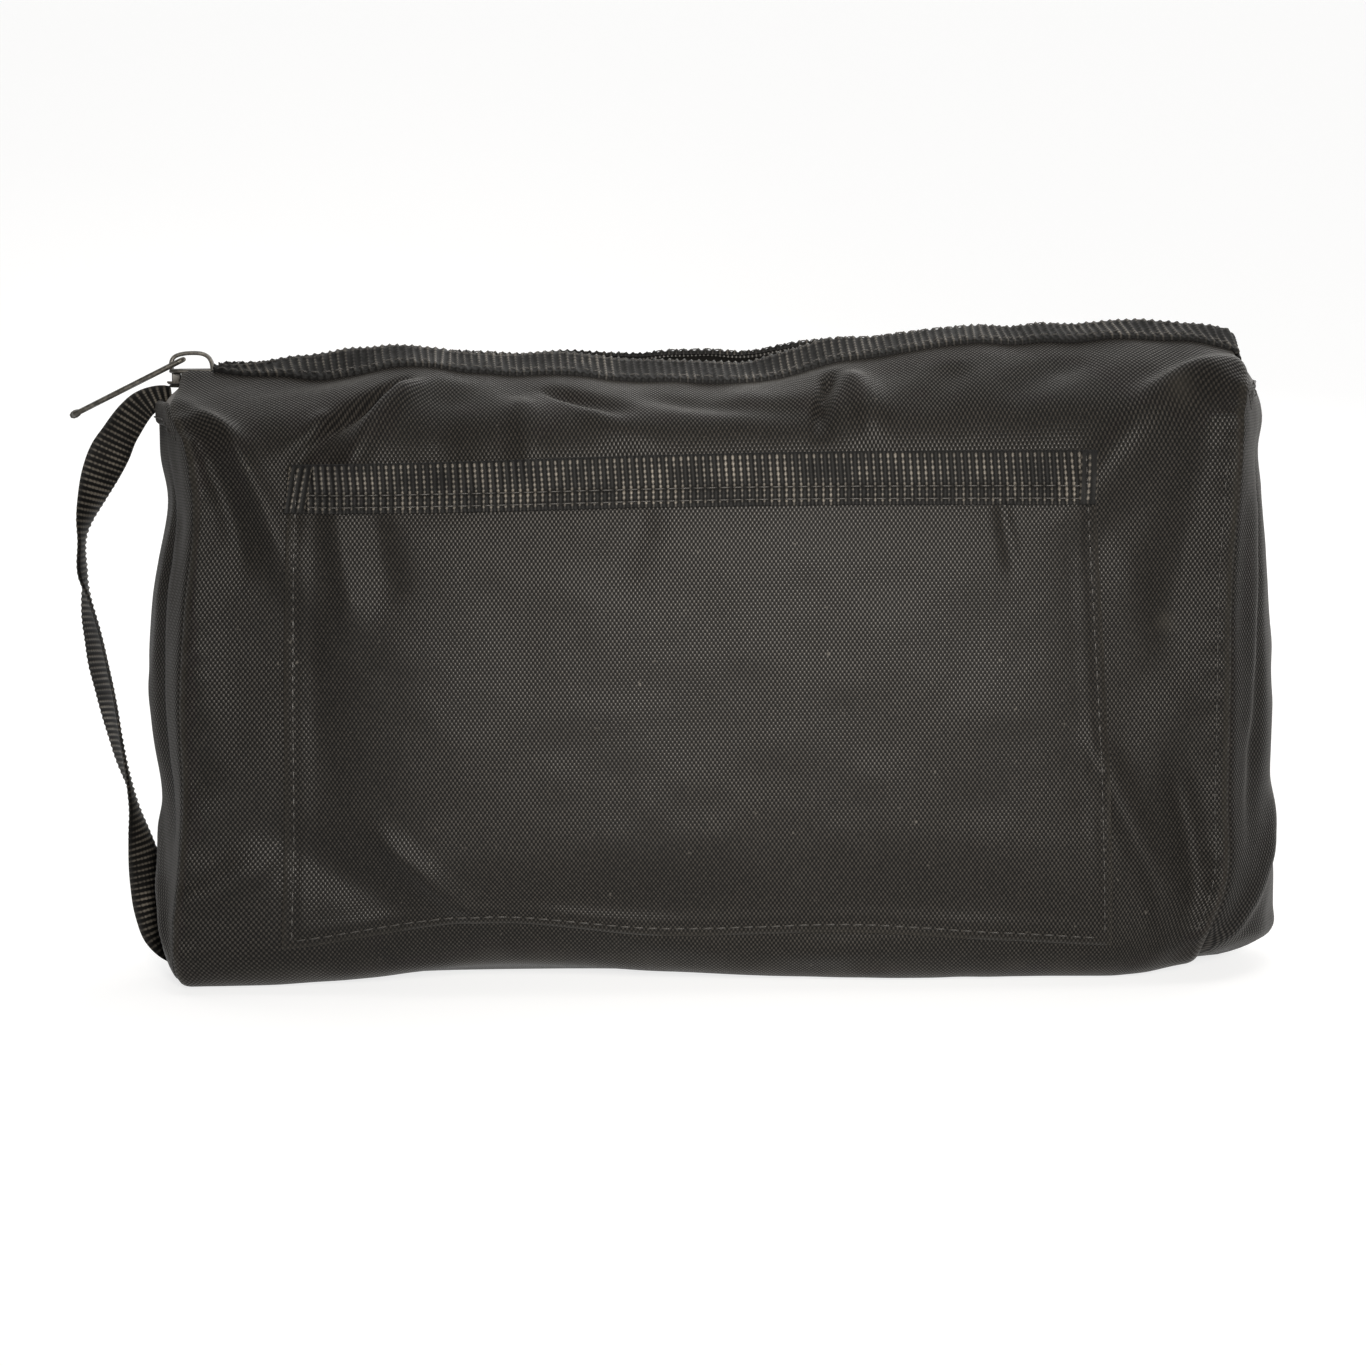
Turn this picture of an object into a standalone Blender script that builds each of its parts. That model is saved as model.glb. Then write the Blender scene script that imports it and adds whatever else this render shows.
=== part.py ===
"""Hanging toiletry bag: a zip-top fabric box pouch with a front pocket and a webbing loop at its left end.

Frame: the loop's end is at -X, the zip's far end at +X, +Z is up and the pocket faces -Y.
The origin is the centre of the base's underside. Lengths are in metres.
"""

import math

import bpy
from mathutils import Matrix, Vector

MM = 0.001

# Fabric and webbing
CLOTH = 1.2 * MM
GAP = 0.3 * MM
WEBBING_WIDTH = 12.0 * MM
WEBBING_THICK = 1.3 * MM

# Bag body: the front, base and back are one wrap between the two end gussets
SEAM_X = 125.2 * MM
WRAP_END_X = 124.9 * MM
HALF_DEPTH = 43.0 * MM
CORNER_RADIUS = 12.0 * MM
WALL_TOP = 131.0 * MM
WALL_BULGE = 1.2 * MM
BINDING_INSET = 3.6 * MM
BINDING_GAP = 1.4 * MM
BINDING_WIDTH = 6.0 * MM
BINDING_THICK = 0.9 * MM

# End gussets, which swell out past the seams
GUSSET_HALF = 42.8 * MM
GUSSET_TOP = 142.5 * MM
GUSSET_SHOULDER = 131.5 * MM
GUSSET_BOTTOM = 0.6 * MM
GUSSET_FOOT = 16.0 * MM
GUSSET_LEFT_SWELL = 8.0 * MM
GUSSET_LEFT_RISE = 4.0 * MM
GUSSET_RIGHT_SWELL = 12.2 * MM
GUSSET_RIGHT_FALL = 3.7 * MM

# Flaps that close the zip's ends down to the gussets
FLAP_HALF_WIDTH = 30.0 * MM
FLAP_THICK = 0.6 * MM
FLAP_FOOT_GAP = 0.4 * MM
FLAP_HEAD_GAP = 2.0 * MM
FLAP_LEAN = 3.4 * MM
FLAP_LEAN_HALF_WIDTH = 12.0 * MM
FLAP_LEAN_FADE = 4.0 * MM

# The two lips of the mouth, which fold about their hinge lines
HINGE_Z = 132.0 * MM
LIP_HALF_LENGTH = 112.0 * MM
LIP_START = 1.6 * MM
LIP_EDGE_Y = 8.2 * MM
LIP_CROWN = 6.5 * MM
SHOULDER_START_X = 112.4 * MM
SHOULDER_INSET = 0.9 * MM

# Zip line, which climbs to the right
ZIP_LEFT_X = -127.3 * MM
ZIP_LEFT_Z = 147.9 * MM
ZIP_SLOPE = math.radians(1.2)
TRIM_INNER_Y = 5.5 * MM
TRIM_LEFT_X = -117.0 * MM
TRIM_RIGHT_X = 123.0 * MM
ROOF_RISE = 1.2 * MM
TAPE_INNER_Y = 0.6 * MM
TAPE_OUTER_Y = 7.0 * MM
TAPE_NOTCH_Y = 1.3 * MM
TAPE_THICK = 0.5 * MM
TAPE_TOP = -0.85 * MM
COIL_INNER_Y = 0.15 * MM
COIL_OUTER_Y = 3.0 * MM
COIL_LOW = -0.55 * MM
COIL_HIGH = 0.8 * MM
COIL_START = 2.9 * MM
COIL_RIGHT_X = 121.6 * MM
STOP_LEFT_X = 122.6 * MM
STOP_RIGHT_X = 124.2 * MM
STOP_HALF_WIDTH = 2.4 * MM
STOP_HIGH = 0.9 * MM
ZIP_END_X = 129.0 * MM

# Slider and its pull
SLIDER_LENGTH = 11.2 * MM
SLIDER_HALF_WIDTH = 4.6 * MM
SLIDER_PLATE = 0.8 * MM
SLIDER_TOP = 1.1 * MM
SLIDER_LOW = -1.65 * MM
WEDGE_HALF_WIDTH = 0.9 * MM
WEDGE_BITE = 0.2 * MM
BRIDGE_GAP = 0.05 * MM
BRIDGE_WIDTH = 2.4 * MM
BRIDGE_THICK = 1.1 * MM
PULL_PIVOT = Vector((-130.35 * MM, 0.0, 151.85 * MM))
PULL_DROOP = math.radians(26.0)
PULL_LENGTH = 29.8 * MM
PULL_HALF_WIDTH = 3.1 * MM
PULL_THICK = 1.3 * MM
PULL_WINDOW = 11.0 * MM
PULL_WINDOW_HALF = 1.6 * MM
PULL_EYE = 0.65 * MM
PULL_CHAMFER = 0.5 * MM
PULL_TIP = 1.2 * MM

# Front pocket
POCKET_LEFT = -101.5 * MM
POCKET_RIGHT = 94.0 * MM
POCKET_BOTTOM = 13.0 * MM
POCKET_TOP = 126.0 * MM
POCKET_SWELL = 7.4 * MM
BAND_LEFT = -99.5 * MM
BAND_RIGHT = 91.5 * MM
BAND_BOTTOM = 116.0 * MM

# Side loop
STRAP_AXIS = Vector((-143.0 * MM, 0.0, 0.0))
STRAP_TOP_WIDTH = 8.0 * MM

MATERIALS = {
    "oxford_cloth": ((0.040, 0.037, 0.033), 0.62, 0.0),
    "webbing": ((0.030, 0.029, 0.026), 0.58, 0.0),
    "zip_tape": ((0.055, 0.045, 0.036), 0.75, 0.0),
    "zip_coil": ((0.020, 0.019, 0.018), 0.38, 0.0),
    "zip_metal": ((0.075, 0.072, 0.062), 0.34, 0.85),
    "binding_tape": ((0.025, 0.024, 0.023), 0.80, 0.0),
}


# ---------------------------------------------------------------- scene set-up


def clear_scene():
    """Remove every object, so the script builds on an empty scene."""
    for old in list(bpy.data.objects):
        bpy.data.objects.remove(old, do_unlink=True)


def make_collection(name):
    """Return a new collection in the scene."""
    made = bpy.data.collections.new(name)
    bpy.context.scene.collection.children.link(made)
    return made


def make_material(name, look):
    """Return a Principled material in the look's colour, for one part."""
    colour, roughness, metallic = MATERIALS[look]
    material = bpy.data.materials.new(f"{name}_{look}")
    material.use_nodes = True
    shader = material.node_tree.nodes["Principled BSDF"]
    shader.inputs["Base Color"].default_value = (*colour, 1.0)
    shader.inputs["Roughness"].default_value = roughness
    shader.inputs["Metallic"].default_value = metallic
    return material


def make_pivot(collection, name, place):
    """Return an empty that stands on a joint's axis."""
    empty = bpy.data.objects.new(name, None)
    empty.empty_display_size = 10 * MM
    empty.location = place
    collection.objects.link(empty)
    return empty


def make_part(collection, name, look, points, faces, pivot=None):
    """Return one named solid from world points, hung on its pivot if it has one."""
    origin = pivot.location.copy() if pivot else Vector((0, 0, 0))
    mesh = bpy.data.meshes.new(name)
    mesh.from_pydata([Vector(p) - origin for p in points], [], faces)
    mesh.update()
    part = bpy.data.objects.new(name, mesh)
    part.data.materials.append(make_material(name, look))
    collection.objects.link(part)
    if pivot:
        part.parent = pivot
    return part


# ------------------------------------------------------------- solid building


def slab_mesh(outer, inner):
    """Points and faces of a closed sheet between two equal grids of points."""
    rows = len(outer)
    columns = len(outer[0])
    count = rows * columns
    points = [p for row in outer for p in row] + [p for row in inner for p in row]
    faces = []
    for r in range(rows - 1):
        for c in range(columns - 1):
            a = r * columns + c
            quad = (a, a + 1, a + columns + 1, a + columns)
            faces.append(quad)
            faces.append(tuple(count + i for i in reversed(quad)))
    rim = list(range(columns - 1))
    rim += [r * columns + columns - 1 for r in range(rows - 1)]
    rim += [(rows - 1) * columns + c for c in range(columns - 1, 0, -1)]
    rim += [r * columns for r in range(rows - 1, 0, -1)]
    for a, b in zip(rim, rim[1:] + rim[:1]):
        faces.append((b, a, a + count, b + count))
    return points, faces


def volume_sign(points, faces):
    """Six times the signed volume inside the faces: positive when they face out."""
    total = 0.0
    for face in faces:
        a = Vector(points[face[0]])
        for i in range(1, len(face) - 1):
            total += a.dot(Vector(points[face[i]]).cross(Vector(points[face[i + 1]])))
    return total


def make_slab(collection, name, look, outer, inner, pivot=None):
    """Return a closed sheet solid whose faces look outwards."""
    points, faces = slab_mesh(outer, inner)
    if volume_sign(points, faces) < 0:
        faces = [tuple(reversed(face)) for face in faces]
    return make_part(collection, name, look, points, faces, pivot)


def make_sweep(collection, name, look, sections, pivot=None):
    """Return a closed solid through equal rings of points, capped at both ends."""
    size = len(sections[0])
    points = [p for ring in sections for p in ring]
    faces = [tuple(range(size - 1, -1, -1))]
    for k in range(len(sections) - 1):
        for i in range(size):
            a = k * size + i
            b = k * size + (i + 1) % size
            faces.append((a, b, b + size, a + size))
    last = (len(sections) - 1) * size
    faces.append(tuple(range(last, last + size)))
    if volume_sign(points, faces) < 0:
        faces = [tuple(reversed(face)) for face in faces]
    return make_part(collection, name, look, points, faces, pivot)


def make_ribbon(collection, name, look, path, sides, width, thick, pivot=None):
    """Return a flat band along a path, with its width along each point's side vector."""
    sections = []
    for i, place in enumerate(path):
        ahead = path[min(i + 1, len(path) - 1)] - path[max(i - 1, 0)]
        side = sides[i].normalized()
        face = ahead.cross(side).normalized()
        across = side * width / 2
        through = face * thick / 2
        sections.append(
            [
                place - across - through,
                place + across - through,
                place + across + through,
                place - across + through,
            ]
        )
    return make_sweep(collection, name, look, sections, pivot)


def spread(low, high, count):
    """Evenly spaced numbers from low to high."""
    return [low + (high - low) * i / (count - 1) for i in range(count)]


# ------------------------------------------------------------------ bag shapes


def wall_profile(side, inset, steps=5):
    """(y, z) down one wall and round its bottom corner, inset from the outer face."""
    radius = CORNER_RADIUS - inset
    centre_y = HALF_DEPTH - CORNER_RADIUS
    profile = []
    for i in range(steps):
        turn = math.pi / 2 * i / (steps - 1)
        profile.append(
            (
                side * (centre_y + 0.5 * GAP + radius * math.sin(turn)),
                CORNER_RADIUS - radius * math.cos(turn),
            )
        )
    for z in spread(CORNER_RADIUS, WALL_TOP, 7)[1:]:
        profile.append((side * (HALF_DEPTH - inset + 0.5 * GAP), z))
    return profile


def wall_bulge(x, z):
    """How far the wall swells out at a height, past its flat face."""
    rise = min(max((z - CORNER_RADIUS) / (WALL_TOP - CORNER_RADIUS), 0.0), 1.0)
    return WALL_BULGE * math.cos(math.pi * x / (2 * SEAM_X)) * math.sin(math.pi * rise)


def wall_grid(side, inset):
    """Grid of points over one wall's face."""
    return [
        [
            Vector((x, y + side * wall_bulge(x, z), z))
            for x in spread(-WRAP_END_X, WRAP_END_X, 11)
        ]
        for y, z in wall_profile(side, inset)
    ]


def zip_height(x):
    """Height of the zip line over a place along the bag."""
    return ZIP_LEFT_Z + (x - ZIP_LEFT_X) * math.tan(ZIP_SLOPE)


def roof_point(side, x, y, lift):
    """A point on the sloping roof between a hinge line and the zip, lifted off its outer face."""
    foot = Vector((HALF_DEPTH, HINGE_Z))
    ridge = Vector((TRIM_INNER_Y, zip_height(x) + ROOF_RISE))
    along = (ridge - foot).normalized()
    normal = Vector((along.y, -along.x))
    normal = normal if normal.y > 0 else -normal
    share = (HALF_DEPTH - y) / (HALF_DEPTH - TRIM_INNER_Y)
    crown = LIP_CROWN * math.sin(math.pi * min(max(share, 0.0), 1.0))
    spot = foot + (ridge - foot) * share + normal * (lift + crown)
    return Vector((x, side * spot.x, spot.y))


def roof_grid(side, x_low, x_high, y_far, y_near, lift, columns, rows):
    """Grid of points over a stretch of roof."""
    return [
        [roof_point(side, x, y, lift) for x in spread(x_low, x_high, columns)]
        for y in spread(y_far, y_near, rows)
    ]


def gusset_outline(end, y):
    """Lowest and highest point of a gusset at a distance from the bag's middle plane."""
    reach = abs(y)
    corner = HALF_DEPTH - CORNER_RADIUS
    low = GUSSET_BOTTOM
    if reach > corner:
        low += CORNER_RADIUS - math.sqrt(max(CORNER_RADIUS**2 - (reach - corner) ** 2, 0.0))
    roof = roof_point(1, end * SEAM_X, reach, 0.0).z
    return low, max(GUSSET_SHOULDER, min(GUSSET_TOP, roof - GAP))


def gusset_swell(end, z):
    """How far the gusset's middle stands out at a height."""
    foot = 1.0 - min(z / GUSSET_FOOT, 1.0)
    if end < 0:
        rise = min(max((z - 30 * MM) / (150 * MM), 0.0), 1.0)
        swell = GUSSET_LEFT_SWELL + GUSSET_LEFT_RISE * math.sin(math.pi * rise)
    else:
        rise = min(max((z - 60 * MM) / (80 * MM), 0.0), 1.0)
        swell = GUSSET_RIGHT_SWELL - GUSSET_RIGHT_FALL * rise
    return swell * math.sqrt(max(1.0 - foot * foot, 0.0))


def gusset_x(end, y, z, lift):
    """X of a gusset's face, which domes out between its seams."""
    dome = 1.0 - (abs(y) / GUSSET_HALF) ** 2.2
    return end * (SEAM_X + lift + gusset_swell(end, z) * dome)


def gusset_grid(end, lift):
    """Grid of points over one end gusset."""
    grid = []
    for share in spread(0.0, 1.0, 11):
        eased = share**1.5
        row = []
        for y in spread(-GUSSET_HALF, GUSSET_HALF, 13):
            low, high = gusset_outline(end, y)
            z = low + (high - low) * eased
            row.append(Vector((gusset_x(end, y, z, lift), y, z)))
        grid.append(row)
    return grid


def shoulder_grid(side, end, lift):
    """Grid over the roof's fixed corner, which reaches out to the gusset's curved top edge."""
    grid = []
    for y in spread(HALF_DEPTH - LIP_START, LIP_EDGE_Y, 7):
        outer = gusset_x(end, y, GUSSET_TOP, -SHOULDER_INSET)
        columns = spread(end * SHOULDER_START_X, outer, 3)
        grid.append([roof_point(side, x, y, lift) for x in columns])
    return grid


def flap_grid(end, lift):
    """Grid over the flap that closes the end of the zip down to the gusset's top edge."""
    grid = []
    tape_under = zip_height(end * ZIP_END_X) - FLAP_HEAD_GAP
    low = GUSSET_TOP + FLAP_FOOT_GAP
    for share in spread(0.0, 1.0, 4):
        row = []
        for y in spread(-FLAP_HALF_WIDTH, FLAP_HALF_WIDTH, 13):
            roof = roof_point(1, end * SEAM_X, max(abs(y), LIP_EDGE_Y), 0.0).z
            high = max(low + MM, min(roof - FLAP_HEAD_GAP, tape_under))
            near = min(max((FLAP_LEAN_HALF_WIDTH - abs(y)) / FLAP_LEAN_FADE, 0.0), 1.0)
            lean = FLAP_LEAN * near * share * share if end > 0 else 0.0
            x = gusset_x(end, y, GUSSET_TOP, lift) - end * lean
            row.append(Vector((x, y, low + (high - low) * share)))
        grid.append(row)
    return grid


def pocket_face_y(x, z, lift):
    """Y of the pocket's cloth, which swells off the front wall between its sewn edges."""
    middle = (POCKET_LEFT + POCKET_RIGHT) / 2
    half = (POCKET_RIGHT - POCKET_LEFT) / 2
    across = 1.0 - min(abs(x - middle) / half, 1.0) ** 4
    rise = min(max((z - POCKET_BOTTOM) / (0.5 * (POCKET_TOP - POCKET_BOTTOM)), 0.0), 1.0)
    swell = POCKET_SWELL * across * math.sin(math.pi / 2 * rise)
    return -(HALF_DEPTH + 0.5 * GAP + wall_bulge(x, z) + GAP + swell + lift)


# ------------------------------------------------------------------- bag parts


def build_shell(collection):
    """Base, walls, end gussets and the roof's fixed corners."""
    base_half = HALF_DEPTH - CORNER_RADIUS - 0.5 * GAP
    rows = spread(-base_half, base_half, 2)
    columns = spread(-WRAP_END_X, WRAP_END_X, 2)
    make_slab(
        collection,
        "base_panel",
        "oxford_cloth",
        [[Vector((x, y, 0.0)) for x in columns] for y in rows],
        [[Vector((x, y, CLOTH)) for x in columns] for y in rows],
    )
    for side, word in ((-1, "front"), (1, "back")):
        outer = wall_grid(side, 0.0)
        inner = wall_grid(side, CLOTH)
        make_slab(collection, f"{word}_wall", "oxford_cloth", outer, inner)
        for end, end_word in ((-1, "left"), (1, "right")):
            outer = shoulder_grid(side, end, 0.0)
            inner = shoulder_grid(side, end, -CLOTH)
            make_slab(collection, f"{word}_{end_word}_shoulder", "oxford_cloth", outer, inner)
    for end, word in ((-1, "left"), (1, "right")):
        outer = gusset_grid(end, CLOTH)
        inner = gusset_grid(end, 0.0)
        make_slab(collection, f"{word}_gusset", "oxford_cloth", outer, inner)


def build_pocket(collection):
    """The pocket's cloth panel and the webbing band along its top edge."""
    columns = spread(POCKET_LEFT, POCKET_RIGHT, 15)
    heights = spread(POCKET_BOTTOM, POCKET_TOP, 9)
    inner = [[Vector((x, pocket_face_y(x, z, 0.0), z)) for x in columns] for z in heights]
    outer = [[Vector((x, pocket_face_y(x, z, CLOTH), z)) for x in columns] for z in heights]
    make_slab(collection, "pocket_panel", "oxford_cloth", outer, inner)
    columns = spread(BAND_LEFT, BAND_RIGHT, 15)
    heights = spread(BAND_BOTTOM, BAND_BOTTOM + WEBBING_WIDTH, 3)
    back = CLOTH + GAP
    front = back + WEBBING_THICK
    inner = [[Vector((x, pocket_face_y(x, z, back), z)) for x in columns] for z in heights]
    outer = [[Vector((x, pocket_face_y(x, z, front), z)) for x in columns] for z in heights]
    make_slab(collection, "pocket_band", "webbing", outer, inner)


def build_bindings(collection):
    """Tape that binds the raw seam edges inside each end of the bag."""
    reach = HALF_DEPTH - CLOTH - BINDING_GAP
    centre = HALF_DEPTH - CORNER_RADIUS
    radius = reach - centre
    for end, word in ((-1, "left"), (1, "right")):
        x = end * (WRAP_END_X - BINDING_INSET)
        path = [Vector((x, -reach, z)) for z in spread(WALL_TOP - 2 * MM, CORNER_RADIUS, 4)]
        for turn in spread(0.0, math.pi / 2, 5)[1:]:
            y = -centre - radius * math.cos(turn)
            path.append(Vector((x, y, CORNER_RADIUS - radius * math.sin(turn))))
        path += [Vector((x, -p.y, p.z)) for p in reversed(path)]
        path = [p for i, p in enumerate(path) if i == 0 or (p - path[i - 1]).length > MM]
        sides = [Vector((1, 0, 0))] * len(path)
        name = f"{word}_seam_binding"
        make_ribbon(collection, name, "binding_tape", path, sides, BINDING_WIDTH, BINDING_THICK)


def build_lips(collection):
    """The two lips of the mouth: cloth, webbing trim, zip tape and zip coil."""
    for side, word in ((-1, "front"), (1, "back")):
        pivot = make_pivot(collection, f"{word}_lip_axis", (0.0, side * HALF_DEPTH, HINGE_Z))
        ends = -LIP_HALF_LENGTH, LIP_HALF_LENGTH
        start = HALF_DEPTH - LIP_START
        make_slab(
            collection,
            f"{word}_lip_panel",
            "oxford_cloth",
            roof_grid(side, *ends, start, LIP_EDGE_Y, 0.0, 7, 9),
            roof_grid(side, *ends, start, LIP_EDGE_Y, -CLOTH, 7, 9),
            pivot,
        )
        build_trim(collection, f"{word}_trim", side, *ends, 7, pivot)
        build_tape(collection, f"{word}_zip_tape", side, *ends, pivot)
        build_coil(collection, f"{word}_zip_coil", side, *ends, pivot)


def build_trim(collection, name, side, low, high, columns, pivot=None):
    """A stretch of webbing along the roof's inner edge."""
    far = TRIM_INNER_Y + WEBBING_WIDTH * 0.95
    lifts = GAP + WEBBING_THICK, GAP
    grids = [roof_grid(side, low, high, far, TRIM_INNER_Y, lift, columns, 5) for lift in lifts]
    make_slab(collection, name, "webbing", *grids, pivot)


def strip_sections(side, xs, y_near, y_far, z_low, z_high):
    """Rings of a flat strip that follows the zip line."""
    sections = []
    for x in xs:
        z = zip_height(x)
        ring = [(y_near, z_low), (y_far, z_low), (y_far, z_high), (y_near, z_high)]
        sections.append([Vector((x, side * y, z + rise)) for y, rise in ring])
    return sections


def build_tape(collection, name, side, low, high, pivot=None, inner=TAPE_INNER_Y):
    """A stretch of the zip's woven tape."""
    rings = strip_sections(side, (low, high), inner, TAPE_OUTER_Y, TAPE_TOP - TAPE_THICK, TAPE_TOP)
    make_sweep(collection, name, "zip_tape", rings, pivot)


def build_coil(collection, name, side, low, high, pivot=None):
    """A stretch of one side of the zip's coil."""
    rings = strip_sections(side, (low, high), COIL_INNER_Y, COIL_OUTER_Y, COIL_LOW, COIL_HIGH)
    make_sweep(collection, name, "zip_coil", rings, pivot)


def build_zip_ends(collection):
    """The fixed ends of the trims, tapes and coils, and the flaps that close over the gussets."""
    left, right = -SHOULDER_START_X, SHOULDER_START_X
    nose = -SLIDER_LENGTH / 2 + ZIP_LEFT_X
    for side, word in ((-1, "front"), (1, "back")):
        build_trim(collection, f"{word}_trim_left_end", side, TRIM_LEFT_X, left, 2)
        build_trim(collection, f"{word}_trim_right_end", side, right, TRIM_RIGHT_X, 3)
        build_tape(collection, f"{word}_tape_left_end", side, nose, left, inner=TAPE_NOTCH_Y)
        build_coil(collection, f"{word}_coil_left_end", side, nose + COIL_START, left)
        build_tape(collection, f"{word}_tape_right_end", side, right, ZIP_END_X)
        build_coil(collection, f"{word}_coil_right_end", side, right, COIL_RIGHT_X)
    ends = STOP_LEFT_X, STOP_RIGHT_X
    stop = strip_sections(1, ends, -STOP_HALF_WIDTH, STOP_HALF_WIDTH, COIL_LOW, STOP_HIGH)
    make_sweep(collection, "zip_bottom_stop", "zip_metal", stop)
    for end, word in ((-1, "left"), (1, "right")):
        grids = flap_grid(end, GAP + FLAP_THICK), flap_grid(end, GAP)
        make_slab(collection, f"zip_{word}_flap", "zip_tape", *grids)


# -------------------------------------------------------------- slider and pull


def box_points(low, high):
    """Corner points and faces of a box."""
    spans = list(zip(low, high))
    points = [Vector((x, y, z)) for x in spans[0] for y in spans[1] for z in spans[2]]
    faces = [(0, 1, 3, 2), (4, 6, 7, 5), (0, 4, 5, 1), (2, 3, 7, 6), (0, 2, 6, 4), (1, 5, 7, 3)]
    return points, faces


def union_all(body, others):
    """Join solids into the first one, and remove the rest."""
    for other in others:
        modifier = body.modifiers.new("join", "BOOLEAN")
        modifier.operation = "UNION"
        modifier.solver = "EXACT"
        modifier.object = other
        bpy.context.view_layer.objects.active = body
        bpy.context.view_layer.update()
        bpy.ops.object.modifier_apply(modifier=modifier.name)
        bpy.data.objects.remove(other, do_unlink=True)


def build_slider(collection):
    """The slider's cast body, and the bridge that the pull hangs on."""
    pivot = make_pivot(collection, "slider_axis", (ZIP_LEFT_X, 0.0, ZIP_LEFT_Z))
    half = SLIDER_LENGTH / 2
    wide = SLIDER_HALF_WIDTH
    top_z = ZIP_LEFT_Z + SLIDER_TOP
    low_z = ZIP_LEFT_Z + SLIDER_LOW
    left = ZIP_LEFT_X - half
    right = ZIP_LEFT_X + half
    wedge_low = left + 0.5 * MM, -WEDGE_HALF_WIDTH, low_z - WEDGE_BITE
    wedge_high = left + 2.5 * MM, WEDGE_HALF_WIDTH, top_z + WEDGE_BITE
    plates = [
        ((left, -wide, top_z), (right, wide, top_z + SLIDER_PLATE)),
        ((left, -wide, low_z - SLIDER_PLATE), (right, wide, low_z)),
        (wedge_low, wedge_high),
    ]
    solids = []
    for i, (low, high) in enumerate(plates):
        points, faces = box_points(low, high)
        if volume_sign(points, faces) < 0:
            faces = [tuple(reversed(face)) for face in faces]
        name = "slider_body" if i == 0 else f"slider_piece_{i}"
        solids.append(make_part(collection, name, "zip_metal", points, faces, pivot))
    union_all(solids[0], solids[1:])

    seat = top_z + SLIDER_PLATE + BRIDGE_GAP
    route = [
        (-5.3, 0.0),
        (-5.25, 1.6),
        (-4.6, 2.9),
        (-3.4, 3.6),
        (-1.0, 3.85),
        (2.0, 3.75),
        (3.7, 3.1),
        (4.5, 1.8),
        (4.6, 0.0),
    ]
    path = [Vector((ZIP_LEFT_X + x * MM, 0.0, seat + z * MM)) for x, z in route]
    sides = [Vector((0, 1, 0))] * len(path)
    size = BRIDGE_WIDTH, BRIDGE_THICK
    make_ribbon(collection, "slider_bridge", "zip_metal", path, sides, *size, pivot)
    return pivot


def build_pull(collection, slider_pivot):
    """The flat pull, with the window that lets it swing over the bridge."""
    pivot = make_pivot(collection, "puller_axis", PULL_PIVOT)
    half = PULL_HALF_WIDTH
    upper = [
        (PULL_LENGTH, half * 0.5),
        (PULL_LENGTH - PULL_TIP, half * 0.86),
        (PULL_CHAMFER - PULL_EYE, half),
        (-PULL_EYE, half - PULL_CHAMFER),
    ]
    outline = [(along, -across) for along, across in reversed(upper)] + upper
    window = [
        (PULL_EYE, -PULL_WINDOW_HALF),
        (PULL_WINDOW, -PULL_WINDOW_HALF),
        (PULL_WINDOW, PULL_WINDOW_HALF),
        (PULL_EYE, PULL_WINDOW_HALF),
    ]
    turn = Matrix.Rotation(PULL_DROOP, 3, "Y").inverted()

    def place(along, across, through):
        return PULL_PIVOT + turn @ Vector((-along, across, through))

    solids = []
    thick = PULL_THICK / 2
    for name, ring, reach in (("puller", outline, thick), ("window_cutter", window, 2 * thick)):
        rings = [[place(a, b, height) for a, b in ring] for height in (-reach, reach)]
        solids.append(make_sweep(collection, name, "zip_metal", rings, pivot))
    modifier = solids[0].modifiers.new("window", "BOOLEAN")
    modifier.operation = "DIFFERENCE"
    modifier.solver = "EXACT"
    modifier.object = solids[1]
    bpy.context.view_layer.objects.active = solids[0]
    bpy.context.view_layer.update()
    bpy.ops.object.modifier_apply(modifier=modifier.name)
    bpy.data.objects.remove(solids[1], do_unlink=True)


# -------------------------------------------------------------------- side loop


def loop_ribbon(collection, name, route, width, pivot=None):
    """A length of the loop through (x, z, lean), in millimetres.

    Lean is the share of the width that lies in the X-Z plane.
    """
    path = [Vector((x * MM, 0.0, z * MM)) for x, z, _ in route]
    sides = []
    for i, (_, _, lean) in enumerate(route):
        ahead = (path[min(i + 1, len(path) - 1)] - path[max(i - 1, 0)]).normalized()
        in_plane = Vector((-ahead.z, 0.0, ahead.x))
        sides.append(in_plane * lean + Vector((0, math.sqrt(1 - lean * lean), 0)))
    make_ribbon(collection, name, "webbing", path, sides, width, WEBBING_THICK, pivot)


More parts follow.
